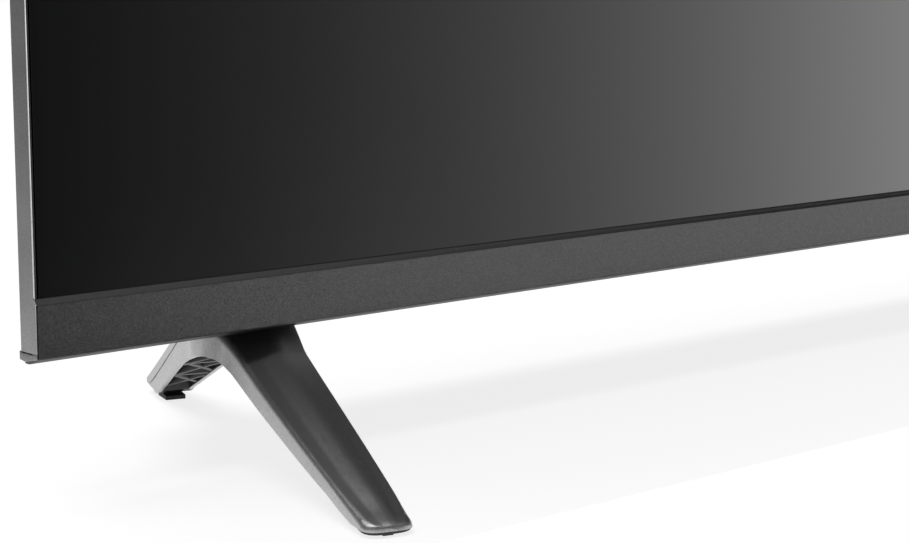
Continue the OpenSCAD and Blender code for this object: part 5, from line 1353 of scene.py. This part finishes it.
def show_joined(node, meshes, finishes):
    """Shows several meshes as one piece in place of a node, each with its own finish."""
    form = bmesh.new()
    numbers = []
    for number, mesh in enumerate(meshes):
        form.from_mesh(mesh)
        numbers += [number] * len(mesh.polygons)
    whole = with_modifiers(form, node + "_piece", EVEN)
    piece = show(whole, node, finishes)
    whole.polygons.foreach_set("material_index", numbers)
    print(piece.name, len(numbers), "faces, strays", round(strays(whole, node), 3))


MOUTH_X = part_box("hdmi_ports")[1].x / MM
print("the sockets open at x =", round(MOUTH_X, 1), "mm")

# %% [markdown]
# A tongue is one slab, repeated in every socket of its kind. Its contacts are thin slabs set along it at their
# pitch, in one or two rows.

# %% Video and data sockets
TONGUE_BACK, TONGUE_FRONT, CONTACT_AT = MOUTH_X - 9.8, MOUTH_X - 1.2, MOUTH_X - 4.8
# Each socket: heights of its middle, depth and half height of its tongue, rows of (depth, contacts, pitch)
SOCKETS = (("hdmi_ports", (244, 268, 292), (23.7, 24.8), 5.7, ((23.7, 9, 1.0), (24.8, 10, 1.0))),
           ("usb_ports", (198, 220), (25.4, 27.1), 5.6, ((25.4, 4, 2.5),)))
socket_finishes = [finish_of["bright_steel"], finish_of["black_plastic"], contact_gold]
contact = slab_mesh("contact", (-3.2, -0.1, -0.22), (3.2, 0.1, 0.22), 0.05)
for node, middles, (near, far), half, rows in SOCKETS:
    shell = eased(merged_copy(node), node + "_shell", 0.12)
    tongue = slab_mesh("tongue", (TONGUE_BACK, near, -half), (TONGUE_FRONT, far, half), 0.2)
    tongues = repeated("tongues", tongue, [(0, 0, middle * MM) for middle in middles], finish_of["black_plastic"])
    spots = [Vector((CONTACT_AT, y, middle + (i - (count - 1) / 2) * pitch)) * MM
             for middle in middles for y, count, pitch in rows for i in range(count)]
    show_joined(node, [shell, tongues, repeated("contacts", contact, spots, contact_gold)], socket_finishes)

# %% [markdown]
# The sprung wires of the network socket lean inward from a moulded carrier at its back, so a plug bends them.

# %% Network socket
LAN_MIDDLE, SPRINGS, SPRING_PITCH, SPRING_AT, SPRING_Y = 318, 8, 1.02, MOUTH_X - 6.4, 25.0
CARRIER_X, CARRIER_Y, CARRIER_HALF = (MOUTH_X - 11.9, MOUTH_X - 9.4), (23.0, 28.4), 5.4
spring = slab_mesh("spring", (-4.8, -0.14, -0.24), (4.8, 0.14, 0.24), 0.06, math.radians(-16))
spots = [Vector((SPRING_AT, SPRING_Y, LAN_MIDDLE + (i - (SPRINGS - 1) / 2) * SPRING_PITCH)) * MM
         for i in range(SPRINGS)]
carrier = slab_mesh("carrier", (CARRIER_X[0], CARRIER_Y[0], LAN_MIDDLE - CARRIER_HALF),
                    (CARRIER_X[1], CARRIER_Y[1], LAN_MIDDLE + CARRIER_HALF), 0.2)
show_joined("lan_port", [eased(merged_copy("lan_port"), "lan_port_shell", 0.2), carrier,
                         repeated("springs", spring, spots, contact_gold)], socket_finishes)

# %% [markdown]
# ## Push keys
#
# Each key is a small turned cap with a finger dish, a flange that keeps it in its hole, and a stem that
# reaches the switch. They are turned from one profile and ride on their own bodies, so they can be pressed.

# %% Push keys
STEM_R, CAP_IN, CAP_TALL, FLANGE_T, STEM_TIP, ROUND, KEY_SIDES = 1.6, 1.5, 3.7, 1.7, 0.3, 0.2, 48
# Outline of the cap's top: (what is taken from its radius, depth below the top), then its dish by share of radius
CAP_EDGE = ((0, 0.6), (0.15, 0.25), (0.45, 0.06), (0.8, 0))
CAP_DISH = ((0.6, 0.18), (0.3, 0.34), (0, 0.4))
for body in frame["bodies"]:
    if not body.endswith("_key"):
        continue
    node = frame["record"]["behaviour"]["bodies"][body][0]
    low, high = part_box(node)
    middle = (low + high) / 2
    flange_r = (high.x - low.x) / 2 / MM
    cap_r = flange_r - CAP_IN
    tail, back = low.y / MM, high.y / MM
    seat = back - CAP_TALL
    under = seat - FLANGE_T
    profile = [(0, tail), (STEM_R - ROUND, tail), (STEM_R, tail + STEM_TIP), (STEM_R, under),
               (flange_r - ROUND, under), (flange_r, under + ROUND), (flange_r, seat - ROUND),
               (flange_r - ROUND, seat), (cap_r, seat)]
    profile += [(cap_r - inward, back - deep) for inward, deep in CAP_EDGE]
    profile += [(share * cap_r, back - deep) for share, deep in CAP_DISH]
    form = turned_form(profile, KEY_SIDES)
    bmesh.ops.translate(form, vec=(middle.x, 0, middle.z), verts=form.verts)
    mesh = bpy.data.meshes.new(node + "_piece")
    form.to_mesh(mesh)
    form.free()
    mesh.shade_smooth()
    mesh.set_sharp_from_angle(angle=math.radians(40))
    piece = show(mesh, node, [finish_of["key_plastic"]], body)
    print(piece.name, "on", body, "strays", round(strays(mesh, node), 3))

# %% [markdown]
# ## Size and finish
# The dressed model's box is measured against the CAD box, and how far it grows past it on each side is printed in
# mm.
# The dressed model has to stay inside the CAD box.

# %% How far the model grows past the CAD box
new_low, new_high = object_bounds()
grown = [round((a - b) / MM, 3) for a, b in zip((*cad_low, *new_high), (*new_low, *cad_high))]
print("grown by, in mm:", grown)
